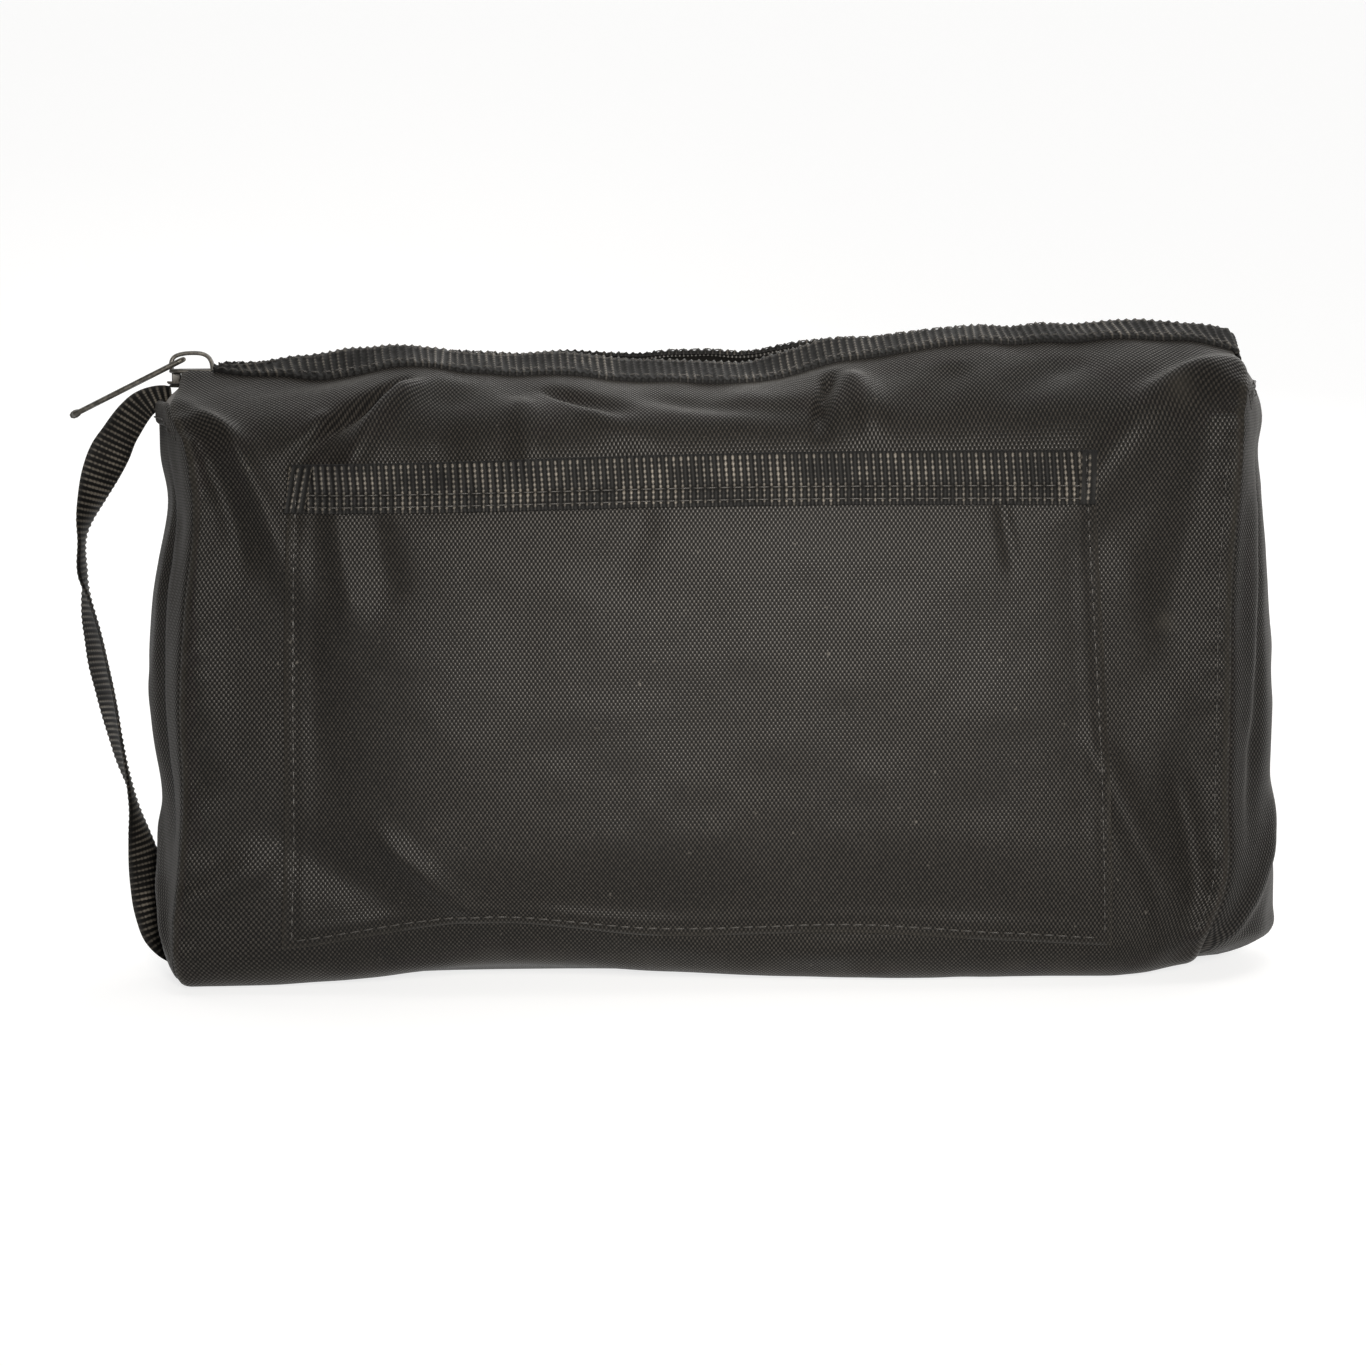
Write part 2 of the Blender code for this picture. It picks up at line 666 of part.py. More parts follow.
def build_strap(collection):
    """The webbing loop at the left end, and the two short ends sewn into the bag."""
    pivot = make_pivot(collection, "strap_axis", STRAP_AXIS)
    top = [
        (-138.3, 142.9, 0.05),
        (-138.9, 144.2, 0.10),
        (-140.3, 144.3, 0.25),
        (-142.0, 142.2, 0.50),
        (-143.4, 138.3, 0.68),
    ]
    loop = [
        (-144.0, 137.2, 0.70),
        (-145.6, 134.0, 0.76),
        (-147.9, 130.0, 0.82),
        (-150.4, 124.8, 0.72),
        (-152.9, 118.8, 0.48),
        (-155.0, 112.8, 0.20),
        (-155.9, 108.8, 0.0),
        (-155.9, 98.8, 0.0),
        (-155.3, 94.0, -0.22),
        (-154.5, 88.8, -0.38),
        (-153.4, 82.8, -0.46),
        (-152.4, 76.8, -0.50),
        (-151.1, 70.8, -0.48),
        (-149.9, 64.8, -0.44),
        (-148.7, 58.8, -0.36),
        (-147.4, 52.8, -0.28),
        (-145.9, 46.8, -0.14),
        (-144.5, 40.8, 0.04),
        (-143.4, 34.8, 0.30),
        (-142.3, 28.8, 0.52),
        (-141.5, 22.6, 0.62),
    ]
    bottom = [
        (-141.3, 21.4, 0.62),
        (-140.5, 14.6, 0.60),
        (-138.9, 8.8, 0.50),
        (-136.2, 4.8, 0.30),
        (-133.4, 2.4, 0.10),
    ]
    loop_ribbon(collection, "strap_top_end", top, STRAP_TOP_WIDTH)
    loop_ribbon(collection, "strap_loop", loop, WEBBING_WIDTH, pivot)
    loop_ribbon(collection, "strap_bottom_end", bottom, WEBBING_WIDTH)


def main():
    clear_scene()
    parts = make_collection("hanging_toiletry_bag")
    build_shell(parts)
    build_pocket(parts)
    build_bindings(parts)
    build_lips(parts)
    build_zip_ends(parts)
    slider_pivot = build_slider(parts)
    build_pull(parts, slider_pivot)
    build_strap(parts)


main()
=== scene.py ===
import math

import bpy
import numpy as np
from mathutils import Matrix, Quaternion, Vector


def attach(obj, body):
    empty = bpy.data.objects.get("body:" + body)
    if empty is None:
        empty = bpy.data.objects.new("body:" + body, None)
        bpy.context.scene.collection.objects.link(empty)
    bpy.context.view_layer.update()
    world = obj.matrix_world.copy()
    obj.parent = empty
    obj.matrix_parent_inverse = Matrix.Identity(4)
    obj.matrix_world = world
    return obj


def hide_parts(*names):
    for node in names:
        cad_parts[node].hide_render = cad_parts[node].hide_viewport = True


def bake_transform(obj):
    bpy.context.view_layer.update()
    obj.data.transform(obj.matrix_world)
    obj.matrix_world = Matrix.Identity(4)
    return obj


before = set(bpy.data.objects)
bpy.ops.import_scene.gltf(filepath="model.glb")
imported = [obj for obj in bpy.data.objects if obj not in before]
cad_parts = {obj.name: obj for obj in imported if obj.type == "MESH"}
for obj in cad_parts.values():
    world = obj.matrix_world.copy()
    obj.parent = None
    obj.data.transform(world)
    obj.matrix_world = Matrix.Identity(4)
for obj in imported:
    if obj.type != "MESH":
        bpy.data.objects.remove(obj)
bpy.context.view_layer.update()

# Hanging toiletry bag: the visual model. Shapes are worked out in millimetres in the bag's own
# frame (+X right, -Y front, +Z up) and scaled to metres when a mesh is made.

MM = 0.001
FRONT, BACK = -1, 1
LEFT, RIGHT = -1, 1
SIDE_WORDS = {FRONT: "front", BACK: "back"}
END_WORDS = {LEFT: "left", RIGHT: "right"}

# The bag's own sizes, as in the part
SEAM_X = 125.0
HALF_DEPTH = 43.0
GUSSET_HALF = 41.8
GUSSET_TOPS = {LEFT: 142.5, RIGHT: 148.0}
CORNER_RADIUS = 12.0
HINGE_Z = 132.0
ZIP_LEFT_X = -127.3
ZIP_LEFT_Z = 147.9
ZIP_SLOPE = math.tan(math.radians(1.2))
TRIM_INNER_Y = 5.5
WEBBING_WIDTH = 12.0
POCKET_LEFT, POCKET_RIGHT = -102.2, 94.6
POCKET_BOTTOM, POCKET_TOP = 11.6, 127.4
BAND_LEFT, BAND_RIGHT = -101.0, 91.6
BAND_BOTTOM = 116.8
BINDING_X = 121.0
CLOTH_THICK = 0.55

# Run of the wrap from the middle of the base (0) up the wall and over the roof to the zip
BASE_RUN = HALF_DEPTH - CORNER_RADIUS
WALL_FOOT_S = BASE_RUN + CORNER_RADIUS * math.pi / 2
HINGE_S = WALL_FOOT_S + HINGE_Z - CORNER_RADIUS
ROOF_RUN = 42.4
RIDGE_S = HINGE_S + ROOF_RUN
CLOTH_END_S = HINGE_S + 0.97 * ROOF_RUN
TRIM_OUTER_S = RIDGE_S - 0.95 * WEBBING_WIDTH

# Where the wrap is split into thirds, and where its bend from the bag to a lip would start and end; the bend
# is worked out but not applied
SPLIT_X = 65.0
BLEND_START = (43.0, 128.0)
BLEND_END = (14.0, 149.0)
BLEND_TOP_SHARE = 1.32

FORWARD = (0.0, -1.0, 0.0)
UPWARD = (0.0, 0.0, 1.0)


# ------------------------------------------------------------------ numbers


def smooth(low, high, value):
    """0 below low, 1 above high, and an easy curve between."""
    t = np.clip((value - low) / (high - low), 0.0, 1.0)
    return t * t * (3 - 2 * t)


def through(knots, value):
    """A smooth curve through (place, height) knots."""
    xs, ys = np.array(knots, float).T
    slopes = np.gradient(ys, xs)
    value = np.clip(value, xs[0], xs[-1])
    i = np.clip(np.searchsorted(xs, value) - 1, 0, len(xs) - 2)
    step = xs[i + 1] - xs[i]
    t = (value - xs[i]) / step
    return (
        (2 * t**3 - 3 * t**2 + 1) * ys[i]
        + (t**3 - 2 * t**2 + t) * step * slopes[i]
        + (3 * t**2 - 2 * t**3) * ys[i + 1]
        + (t**3 - t**2) * step * slopes[i + 1]
    )


def soft_noise(u, v, cell, seed):
    """Smooth noise from -1 to 1 whose bumps are about a cell apart."""
    size = 64
    table = np.random.default_rng(seed).uniform(-1, 1, (size, size))
    u = np.asarray(u) / cell + 8 * size
    v = np.asarray(v) / cell + 8 * size
    i, j = np.floor(u).astype(int), np.floor(v).astype(int)
    a, b = u - i, v - j
    a, b = a * a * (3 - 2 * a), b * b * (3 - 2 * b)
    low = table[i % size, j % size] * (1 - a) + table[(i + 1) % size, j % size] * a
    high = table[i % size, (j + 1) % size] * (1 - a) + table[(i + 1) % size, (j + 1) % size] * a
    return low * (1 - b) + high * b


def crease(x, z, start, end, widths, height, steep=1.0):
    """A fold along a line: a ridge if height is positive, with its far flank steeper by steep."""
    (x0, z0), (x1, z1) = start, end
    run = math.hypot(x1 - x0, z1 - z0)
    ahead = ((x1 - x0) / run, (z1 - z0) / run)
    along = ((x - x0) * ahead[0] + (z - z0) * ahead[1]) / run
    off = (x - x0) * ahead[1] - (z - z0) * ahead[0]
    share = np.clip(along, 0.0, 1.0)
    width = widths[0] + (widths[1] - widths[0]) * share
    width = np.where(off > 0, width / steep, width)
    taper = smooth(-0.25, 0.2, along) * (1 - smooth(0.75, 1.25, along))
    return height * np.exp(-((off / width) ** 2)) * taper


# --------------------------------------------------------------- bag surface


def zip_height(x):
    """Height of the straight zip line."""
    return ZIP_LEFT_Z + (x - ZIP_LEFT_X) * ZIP_SLOPE


# How far the zip's edge waves above or below its straight line between the sewn ends
ZIP_SWAY = [(-130, 0.0), (-113, 0.0), (-104, 1.2), (-96, 1.7), (-88, 2.6), (-78, 2.9), (-68, 2.0),
            (-58, 0.0), (-48, -0.8), (-36, -0.2), (-24, -2.2), (-8, -3.6), (12, -3.6), (22, -1.4),
            (30, 0.3), (42, 0.3), (54, 1.7), (66, 2.8), (76, 2.4), (92, 3.0), (108, 2.9), (118, 1.6),
            (128, 0.0)]

# How much further the roof drops under the trim's outer edge, where the webbing tilts forward
TRIM_DIP = [(-126, 0.0), (-104, 0.4), (-90, 2.4), (-77, 0.3), (-55, 0.0), (-20, 0.6), (0, 0.2),
            (28, 1.6), (42, 0.2), (70, 0.0), (126, 0.0)]

# How far the front bottom edge stands off the floor
BOTTOM_LIFT = [(-130, 0.0), (-108, 0.0), (-84, 1.6), (-60, 4.2), (-40, 4.2), (-15, 2.4), (10, 0.8),
               (40, 0.0), (70, 0.0), (100, 0.0), (112, 0.8), (120, 2.0), (130, 3.4)]


# X of the end seams along the front, by height; along the back they wander less
SEAM_LINES = {
    LEFT: [(0, -130.2), (6, -131.2), (14, -131.0), (29, -129.3), (46, -128.0), (70, -128.2),
           (94, -126.4), (118, -123.6), (132, -124.6), (150, -125.0)],
    RIGHT: [(0, 115.0), (6, 117.0), (13, 119.6), (22, 123.0), (46, 124.0), (70, 124.6),
            (94, 125.0), (118, 126.6), (132, 127.4), (150, 125.6)],
}
BACK_SEAM_SHARE = 0.4

# How far the roof's end edges reach past the seam, by distance from the middle plane
ROOF_REACH = {
    LEFT: [(0, 4.4), (14, 4.6), (22, 5.2), (28, 5.4), (34, 4.2), (38, 2.4), (41.5, 0.6), (43, 0)],
    RIGHT: [(0, 3.0), (14, 3.2), (22, 3.8), (28, 4.4), (34, 3.7), (38, 2.1), (41.5, 0.5), (43, 0)],
}

# The section's point spacing, its height off the floor, and the shape of its roof
PROFILE_STEP = 0.5
BASE_Z = 0.35
RIDGE_RISE = 1.9
ROOF_CROWN = 5.4
SOFT_RUN = 3.6
SOFT_POINTS = 16


def seam_x(side, end, z):
    """X of the seam between the wrap and an end gusset, by height."""
    line = through(SEAM_LINES[end], z)
    return line if side == FRONT else end * SEAM_X + (line - end * SEAM_X) * BACK_SEAM_SHARE


def seam_line(end, y, z):
    """X of an end's seam all the way round, easing from the front wall's line to the back wall's."""
    share = (y + HALF_DEPTH) / (2 * HALF_DEPTH)
    return seam_x(FRONT, end, z) * (1 - share) + seam_x(BACK, end, z) * share


def make_profile():
    """(s, y, z) along the wrap's section at the middle of the bag, softened where it turns."""
    s = np.arange(0.0, RIDGE_S + WEBBING_WIDTH, PROFILE_STEP)
    turn = np.clip((s - BASE_RUN) / CORNER_RADIUS, 0, math.pi / 2)
    y = np.minimum(s, BASE_RUN) + CORNER_RADIUS * np.sin(turn)
    z = BASE_Z + CORNER_RADIUS * (1 - np.cos(turn)) + np.clip(s - WALL_FOOT_S, 0, HINGE_Z - CORNER_RADIUS)
    share = (s - HINGE_S) / ROOF_RUN
    up = np.array([HALF_DEPTH - TRIM_INNER_Y, zip_height(0) + RIDGE_RISE - HINGE_Z])
    run = math.hypot(*up)
    crown = ROOF_CROWN * np.sin(math.pi * np.clip(share, 0, 1) ** 0.62) * (1 - 0.4 * share)
    roof = share > 0
    y = np.where(roof, HALF_DEPTH - up[0] * share + crown * up[1] / run, y)
    z = np.where(roof, HINGE_Z + up[1] * share + crown * up[0] / run, z)
    reach = np.arange(-SOFT_POINTS, SOFT_POINTS + 1)
    kernel = np.exp(-((reach * PROFILE_STEP / SOFT_RUN) ** 2) / 2)
    kernel /= kernel.sum()
    soft = []
    for line in (y, z):
        before = 2 * line[0] - line[SOFT_POINTS:0:-1]
        after = 2 * line[-1] - line[-2 : -SOFT_POINTS - 2 : -1]
        soft.append(np.convolve(np.concatenate([before, line, after]), kernel, "valid"))
    return s, soft[0], soft[1]


PROFILE_S, PROFILE_Y, PROFILE_Z = make_profile()
PROFILE_DY = np.gradient(PROFILE_Y, PROFILE_S)
PROFILE_DZ = np.gradient(PROFILE_Z, PROFILE_S)

# Folds: start and end (x, height), widths at both ends, height, and how much steeper the far flank is
FRONT_FOLDS = [
    ((-119, 146), (-101, 101), (2.6, 5.0), 2.6, 1.5),
    ((-123, 140), (-112, 104), (2.4, 4.0), -2.2, 1.0),
    ((-124, 112), (-118, 60), (3.0, 5.0), 1.2, 1.0),
    ((-76, 151), (-98, 129), (2.2, 3.4), -4.4, 1.4),
    ((-92, 140), (-96, 128), (2.6, 3.4), 1.6, 1.0),
    ((-72, 150), (-88, 126), (3.0, 4.0), 2.6, 1.6),
    ((-62, 149), (-66, 124), (6.0, 9.0), -2.4, 1.0),
    ((-46, 144), (-41, 126), (4.0, 6.0), 2.0, 1.2),
    ((-38, 149), (-20, 138), (2.4, 3.6), -2.4, 1.3),
    ((-28, 140), (-12, 131), (3.6, 5.0), 1.3, 1.0),
    ((-12, 146), (25, 137), (4.0, 4.0), -1.6, 1.0),
    ((29, 151), (26, 134), (2.0, 2.6), -3.4, 1.5),
    ((34, 150), (40, 132), (3.2, 5.0), 2.0, 1.3),
    ((60, 150), (52, 136), (4.0, 6.0), -1.2, 1.0),
    ((88, 152), (70, 138), (4.0, 7.0), -1.2, 1.0),
    ((119, 150), (84, 114), (5.0, 9.0), 3.4, 1.5),
    ((118, 132), (106, 70), (5.0, 8.0), -2.0, 1.0),
    ((98, 104), (112, 58), (6.0, 8.0), 1.6, 1.0),
    ((92, 56), (113, 12), (5.0, 6.0), 2.8, 1.6),
    ((112, 52), (119, 16), (3.4, 4.0), -2.4, 1.0),
    ((-80, 38), (-56, 14), (3.4, 4.6), 2.0, 1.6),
    ((-104, 36), (-74, 22), (7.0, 7.0), -2.6, 1.0),
    ((-130, 16), (-104, 34), (5.0, 6.0), 1.8, 1.4),
    ((-128, 28), (-108, 60), (5.0, 7.0), 1.0, 1.0),
    ((-40, 16), (0, 9), (4.0, 5.0), 1.2, 1.0),
    ((20, 8), (70, 14), (4.0, 5.0), 1.0, 1.0),
]
BACK_FOLDS = [
    ((-118, 146), (-84, 104), (4.0, 8.0), 2.6, 1.4),
    ((118, 148), (90, 100), (4.0, 8.0), 2.4, 1.4),
    ((-60, 150), (-48, 120), (4.0, 8.0), -2.0, 1.0),
    ((-10, 150), (6, 112), (5.0, 9.0), 1.8, 1.2),
    ((44, 150), (30, 124), (3.0, 6.0), -2.2, 1.3),
    ((-112, 12), (-70, 50), (5.0, 9.0), 2.2, 1.3),
    ((110, 12), (64, 44), (5.0, 9.0), 2.0, 1.3),
    ((-60, 30), (60, 38), (9.0, 9.0), -1.6, 1.0),
    ((-90, 84), (20, 70), (9.0, 13.0), 1.2, 1.0),
]


FOLDS = {FRONT: FRONT_FOLDS, BACK: BACK_FOLDS}

# The pillow of each wall: its height, and the places between which it is full
PILLOWS = {FRONT: (6.4, -66.0, 78.0), BACK: (5.0, -40.0, 50.0)}
PILLOW_END = 127.0

# Rumples all over the cloth: height, distance apart, seed
RUMPLES = ((0.55, 21.0, 3), (0.20, 7.5, 8))

# How the cloth rolls in and puckers beside a sewn edge
WRAP_ROLL, WRAP_DROP = 2.4, 1.5
GUSSET_ROLL, GUSSET_DROP = 2.2, 0.9
PUCKER = 0.28
LOWEST_Z = 0.25


def relief(side, x, s):
    """How far the cloth stands out from the plain section: the pillow of the wall and its folds."""
    z = s - WALL_FOOT_S + CORNER_RADIUS
    height, full_left, full_right = PILLOWS[side]
    plateau_foot = 34.0 + 7.0 * np.exp(-(((x - 25) / 55) ** 2))
    rise = smooth(2.0, plateau_foot, z) * (1 - 0.75 * smooth(100.0, 150.0, z))
    across = smooth(-PILLOW_END, full_left, x) * (1 - smooth(full_right, PILLOW_END, x))
    out = height * across * rise
    on_wall = smooth(-14.0, 4.0, z)
    for fold in FOLDS[side]:
        out = out + crease(x, z, *fold) * on_wall
    for height, cell, seed in RUMPLES:
        out = out + height * soft_noise(x, z, cell, seed + side) * on_wall
    near_zip = smooth(HINGE_Z - 4, HINGE_Z + 18, z)
    out = out + 0.7 * near_zip * soft_noise(x, z * 0.25, 9.0, 12 + side)
    return out * smooth(-3.0, 3.0, RIDGE_S - s)


def edge_roll(past, width):
    """0 inside a sewn edge and nearly 1 at it, by how far past the start of its roll."""
    return 1 - np.sqrt(1 - 0.98 * np.clip(past / width, 0, 1) ** 2)


def shell(side, x, s):
    """Points on the outer face of the wrap, at a place along the bag and a run up its section."""
    x, s = np.broadcast_arrays(np.asarray(x, float), np.asarray(s, float))
    y, z, dy, dz = (np.interp(s, PROFILE_S, line) for line in (PROFILE_Y, PROFILE_Z, PROFILE_DY, PROFILE_DZ))
    length = np.hypot(dy, dz)
    out = relief(side, x, s) - WRAP_DROP * edge_roll(np.abs(x) - (SEAM_X - WRAP_ROLL), WRAP_ROLL)
    pucker = smooth(SEAM_X - 9, SEAM_X - 2, np.abs(x)) * np.sin(s * 0.62 + 3 * np.sin(s * 0.11))
    out = out + PUCKER * pucker
    y = y + out * dz / length
    z = z - out * dy / length
    z = z + smooth(HINGE_Z - 14, HINGE_Z + 18, z) * (zip_height(x) - zip_height(0))
    sway = through(ZIP_SWAY, x) * (1.0 if side == FRONT else 0.5)
    z = z + sway * smooth(HINGE_Z + 2, HINGE_Z + 21, z)
    if side == FRONT:
        z = z - through(TRIM_DIP, x) * np.exp(-(((s - TRIM_OUTER_S) / 8.0) ** 2))
        z = z + through(BOTTOM_LIFT, x) * (1 - smooth(4, 36, z)) * smooth(6, 34, y)
    z = np.maximum(z, LOWEST_Z)
    end = np.where(x < 0, LEFT, RIGHT)
    seam = np.where(end == LEFT, seam_line(LEFT, side * y, z), seam_line(RIGHT, side * y, z))
    reach = np.where(end == LEFT, through(ROOF_REACH[LEFT], y), through(ROOF_REACH[RIGHT], y))
    pull = smooth(SEAM_X - 34, SEAM_X, np.abs(x))
    x = x + pull * (seam - end * SEAM_X + end * reach * smooth(100, 125, z))
    return np.stack([x, side * y, z], -1)


def shell_normal(side, x, s):
    """Unit vectors out of the wrap's outer face."""
    step = 0.35
    across = shell(side, x + step, s) - shell(side, x - step, s)
    along = shell(side, x, s + step) - shell(side, x, s - step)
    normal = np.cross(across, along) * (1.0 if side == FRONT else -1.0)
    return normal / np.linalg.norm(normal, axis=-1, keepdims=True)


def raised(side, x, s, lift):
    """Points at a lift off the wrap's outer face."""
    return shell(side, x, s) + shell_normal(side, x, s) * np.asarray(lift)[..., None]


# How far an end gusset swells out, by height, and the height over which it starts to
GUSSET_SWELL = {
    LEFT: [(0, 7.4), (20, 7.8), (35, 7.6), (48, 8.2), (62, 10.6), (85, 11.6), (105, 10.6), (117, 9.4),
           (130, 10.2), (143, 10.4)],
    RIGHT: [(0, 15.0), (4, 17.0), (9, 19.4), (14, 18.2), (20, 16.6), (30, 14.8), (42, 14.4), (65, 14.6),
            (90, 12.8), (108, 10.8), (118, 9.4), (128, 8.0), (136, 9.0), (142, 8.2), (146, 6.2), (149, 4.2)],
}
GUSSET_FOOT = {LEFT: 15.0, RIGHT: 6.0}
GUSSET_FOLDS = [
    ((-24, 118), (-32, 40), (2.6, 3.6), -1.6, 1.4),
    ((18, 124), (30, 50), (3.0, 5.0), -1.4, 1.0),
    ((-38, 8), (-10, 44), (3.0, 5.0), 1.6, 1.4),
    ((36, 6), (8, 36), (3.0, 5.0), 1.4, 1.2),
    ((-6, 140), (4, 96), (3.0, 6.0), -1.4, 1.0),
]
EDGE_GAP = 0.3


def gusset(end, y, z, lift=0.0):
    """Points on an end gusset, which domes out between its two seams."""
    dome = 1 - (np.abs(y) / GUSSET_HALF) ** 2.4
    rise = (z - edge_value(end, y, 0.0, WALL_FOOT_S, 2) - EDGE_GAP) / GUSSET_FOOT[end]
    foot = np.sqrt(1 - (1 - np.clip(rise, 0, 1)) ** 2)
    x = seam_line(end, y, z) + end * (through(GUSSET_SWELL[end], z) * dome * foot + lift)
    folds = 0.9 * soft_noise(y * 1.6, z * 0.35, 16.0, 21 + end) + 0.3 * soft_noise(y, z, 8.0, 25 + end)
    for fold in GUSSET_FOLDS:
        folds = folds + crease(y, z, *fold)
    hold = smooth(0, 9, GUSSET_HALF - np.abs(y)) * smooth(0, 12, z)
    roll = edge_roll(np.abs(y) - (GUSSET_HALF - GUSSET_ROLL), GUSSET_ROLL)
    x = x + end * (folds * hold - GUSSET_DROP * roll)
    return np.stack(np.broadcast_arrays(x, y, z), -1)


# -------------------------------------------------------------- mesh making


class Piece:
    """Collects points, faces and per-point values, and makes one mesh object of them."""

    def __init__(self):
        self.points, self.faces, self.slots = [], [], []
        self.cloth, self.tone = [], []
        self.count = 0

    def add(self, points, faces, slot, tone, cloth=None):
        self.points.append(points)
        self.faces += [[int(i) + self.count for i in face] for face in faces]
        self.slots += [slot] * len(faces) if np.isscalar(slot) else list(slot)
        self.tone.append(tone)
        self.cloth.append(points if cloth is None else cloth)
        self.count += len(points)

    def build(self, name, materials, sharp=50.0):
        mesh = bpy.data.meshes.new(name)
        points = np.concatenate(self.points) * MM
        mesh.from_pydata(points.tolist(), [], self.faces)
        for material in materials:
            mesh.materials.append(material)
        mesh.polygons.foreach_set("material_index", self.slots)
        mesh.polygons.foreach_set("use_smooth", [True] * len(mesh.polygons))
        values = mesh.attributes.new("cloth", "FLOAT_VECTOR", "POINT")
        values.data.foreach_set("vector", np.concatenate(self.cloth).astype(np.float32).ravel())
        values = mesh.attributes.new("tone", "FLOAT", "POINT")
        values.data.foreach_set("value", np.concatenate(self.tone).astype(np.float32))
        mesh.update()
        mesh.set_sharp_from_angle(angle=math.radians(sharp))
        made = bpy.data.objects.new(name, mesh)
        bpy.context.scene.collection.objects.link(made)
        return made


def grid_quads(rows, columns, first=0):
    """Quads over a grid of points, row by row."""
    index = np.arange(rows * columns).reshape(rows, columns) + first
    quads = np.stack([index[:-1, :-1], index[:-1, 1:], index[1:, 1:], index[1:, :-1]], -1)
    return quads.reshape(-1, 4)


def laid_flat(u, v):
    """Where points lie on the flat cloth, which its weave follows."""
    return np.stack(np.broadcast_arrays(u, v, 0.0), -1)


def add_sheet(piece, outer, inner, cloth, tone=0.0, slots=(0, 0, 0)):
    """A closed sheet between two grids of points; slots are for the outer face, inner face and rim."""
    rows, columns = outer.shape[:2]
    count = rows * columns
    row, column = rows // 2, columns // 2
    across = outer[row, column + 1] - outer[row, column]
    along = outer[row + 1, column] - outer[row, column]
    outward = outer[row, column] - inner[row, column]
    top = grid_quads(rows, columns)
    under = grid_quads(rows, columns, count)[:, ::-1]
    rim = list(range(columns - 1))
    rim += [r * columns + columns - 1 for r in range(rows - 1)]
    rim += [(rows - 1) * columns + c for c in range(columns - 1, 0, -1)]
    rim += [r * columns for r in range(rows - 1, 0, -1)]
    edge = np.array([(b, a, a + count, b + count) for a, b in zip(rim, rim[1:] + rim[:1])])
    faces = np.concatenate([top, under, edge])
    if np.dot(np.cross(across, along), outward) < 0:
        faces = faces[:, ::-1]
    slot = [slots[0]] * len(top) + [slots[1]] * len(under) + [slots[2]] * len(edge)
    both = np.concatenate([outer.reshape(-1, 3), inner.reshape(-1, 3)])
    tone = np.tile(np.broadcast_to(tone, (rows, columns)).ravel(), 2)
    piece.add(both, faces, slot, tone, np.tile(cloth.reshape(-1, 3), (2, 1)))


def add_tube(piece, path, radius, sides=6, slot=0, tone=0.0):
    """A round rod along a path, with a radius for each point or one for all, closed at its ends."""
    path = np.asarray(path, float)
    radius = np.broadcast_to(np.asarray(radius, float), len(path))
    ahead = np.gradient(path, axis=0)
    ahead /= np.linalg.norm(ahead, axis=1, keepdims=True)
    side = np.cross(ahead, [0.0, 0.0, 1.0])
    weak = np.linalg.norm(side, axis=1) < 0.2
    side[weak] = np.cross(ahead[weak], [0.0, 1.0, 0.0])
    side /= np.linalg.norm(side, axis=1, keepdims=True)
    up = np.cross(side, ahead)
    turn = np.arange(sides) * 2 * math.pi / sides
    ring = side[:, None] * np.cos(turn)[None, :, None] + up[:, None] * np.sin(turn)[None, :, None]
    points = path[:, None] + ring * radius[:, None, None]
    add_rings(piece, points, slot, tone)


def add_rings(piece, points, slot=0, tone=0.0):
    """A closed skin through rings of points, with a fan at each end."""
    rings, sides = points.shape[:2]
    faces = []
    for r in range(rings - 1):
        for i in range(sides):
            j = (i + 1) % sides
            faces.append((r * sides + i, r * sides + j, (r + 1) * sides + j, (r + 1) * sides + i))
    faces.append(tuple(range(sides))[::-1])
    faces.append(tuple(range((rings - 1) * sides, rings * sides)))
    flat = points.reshape(-1, 3)
    a, b, c = flat[list(faces[0][:3])]
    middle = points[0].mean(0) * 0.5 + points[1].mean(0) * 0.5
    if np.dot(np.cross(b - a, c - a), (a + b + c) / 3 - middle) < 0:
        faces = [tuple(reversed(face)) for face in faces]
    piece.add(flat, faces, slot, np.full(len(flat), tone))


# One stitch from end to end: how far along, how high it arches, and how thick it is
STITCH_RUN = np.array([0.0, 0.12, 0.35, 0.65, 0.88, 1.0])
STITCH_ARCH = np.array([-1.4, 0.3, 0.9, 0.9, 0.3, -1.4])
STITCH_SIZE = np.array([0.7, 1.0, 1.05, 1.05, 1.0, 0.7])
FIRST_STITCH = 0.6
THREAD_TONE = 0.4


def add_stitches(piece, points, normals, length=2.5, pitch=3.3, radius=0.19, slot=0):
    """A row of sewn stitches along a fine line of points, each one arching out of the cloth."""
    normals = np.broadcast_to(normals, points.shape)
    steps = np.linalg.norm(np.diff(points, axis=0), axis=1)
    run = np.concatenate([[0], np.cumsum(steps)])
    for start in np.arange(FIRST_STITCH, run[-1] - length, pitch):
        at = start + STITCH_RUN * length
        spot = np.stack([np.interp(at, run, points[:, k]) for k in range(3)], 1)
        out = np.stack([np.interp(at, run, normals[:, k]) for k in range(3)], 1)
        arch = radius * 0.9 * STITCH_ARCH
        add_tube(piece, spot + out * arch[:, None], radius * STITCH_SIZE, 6, slot, THREAD_TONE)


# -------------------------------------------------------------- materials


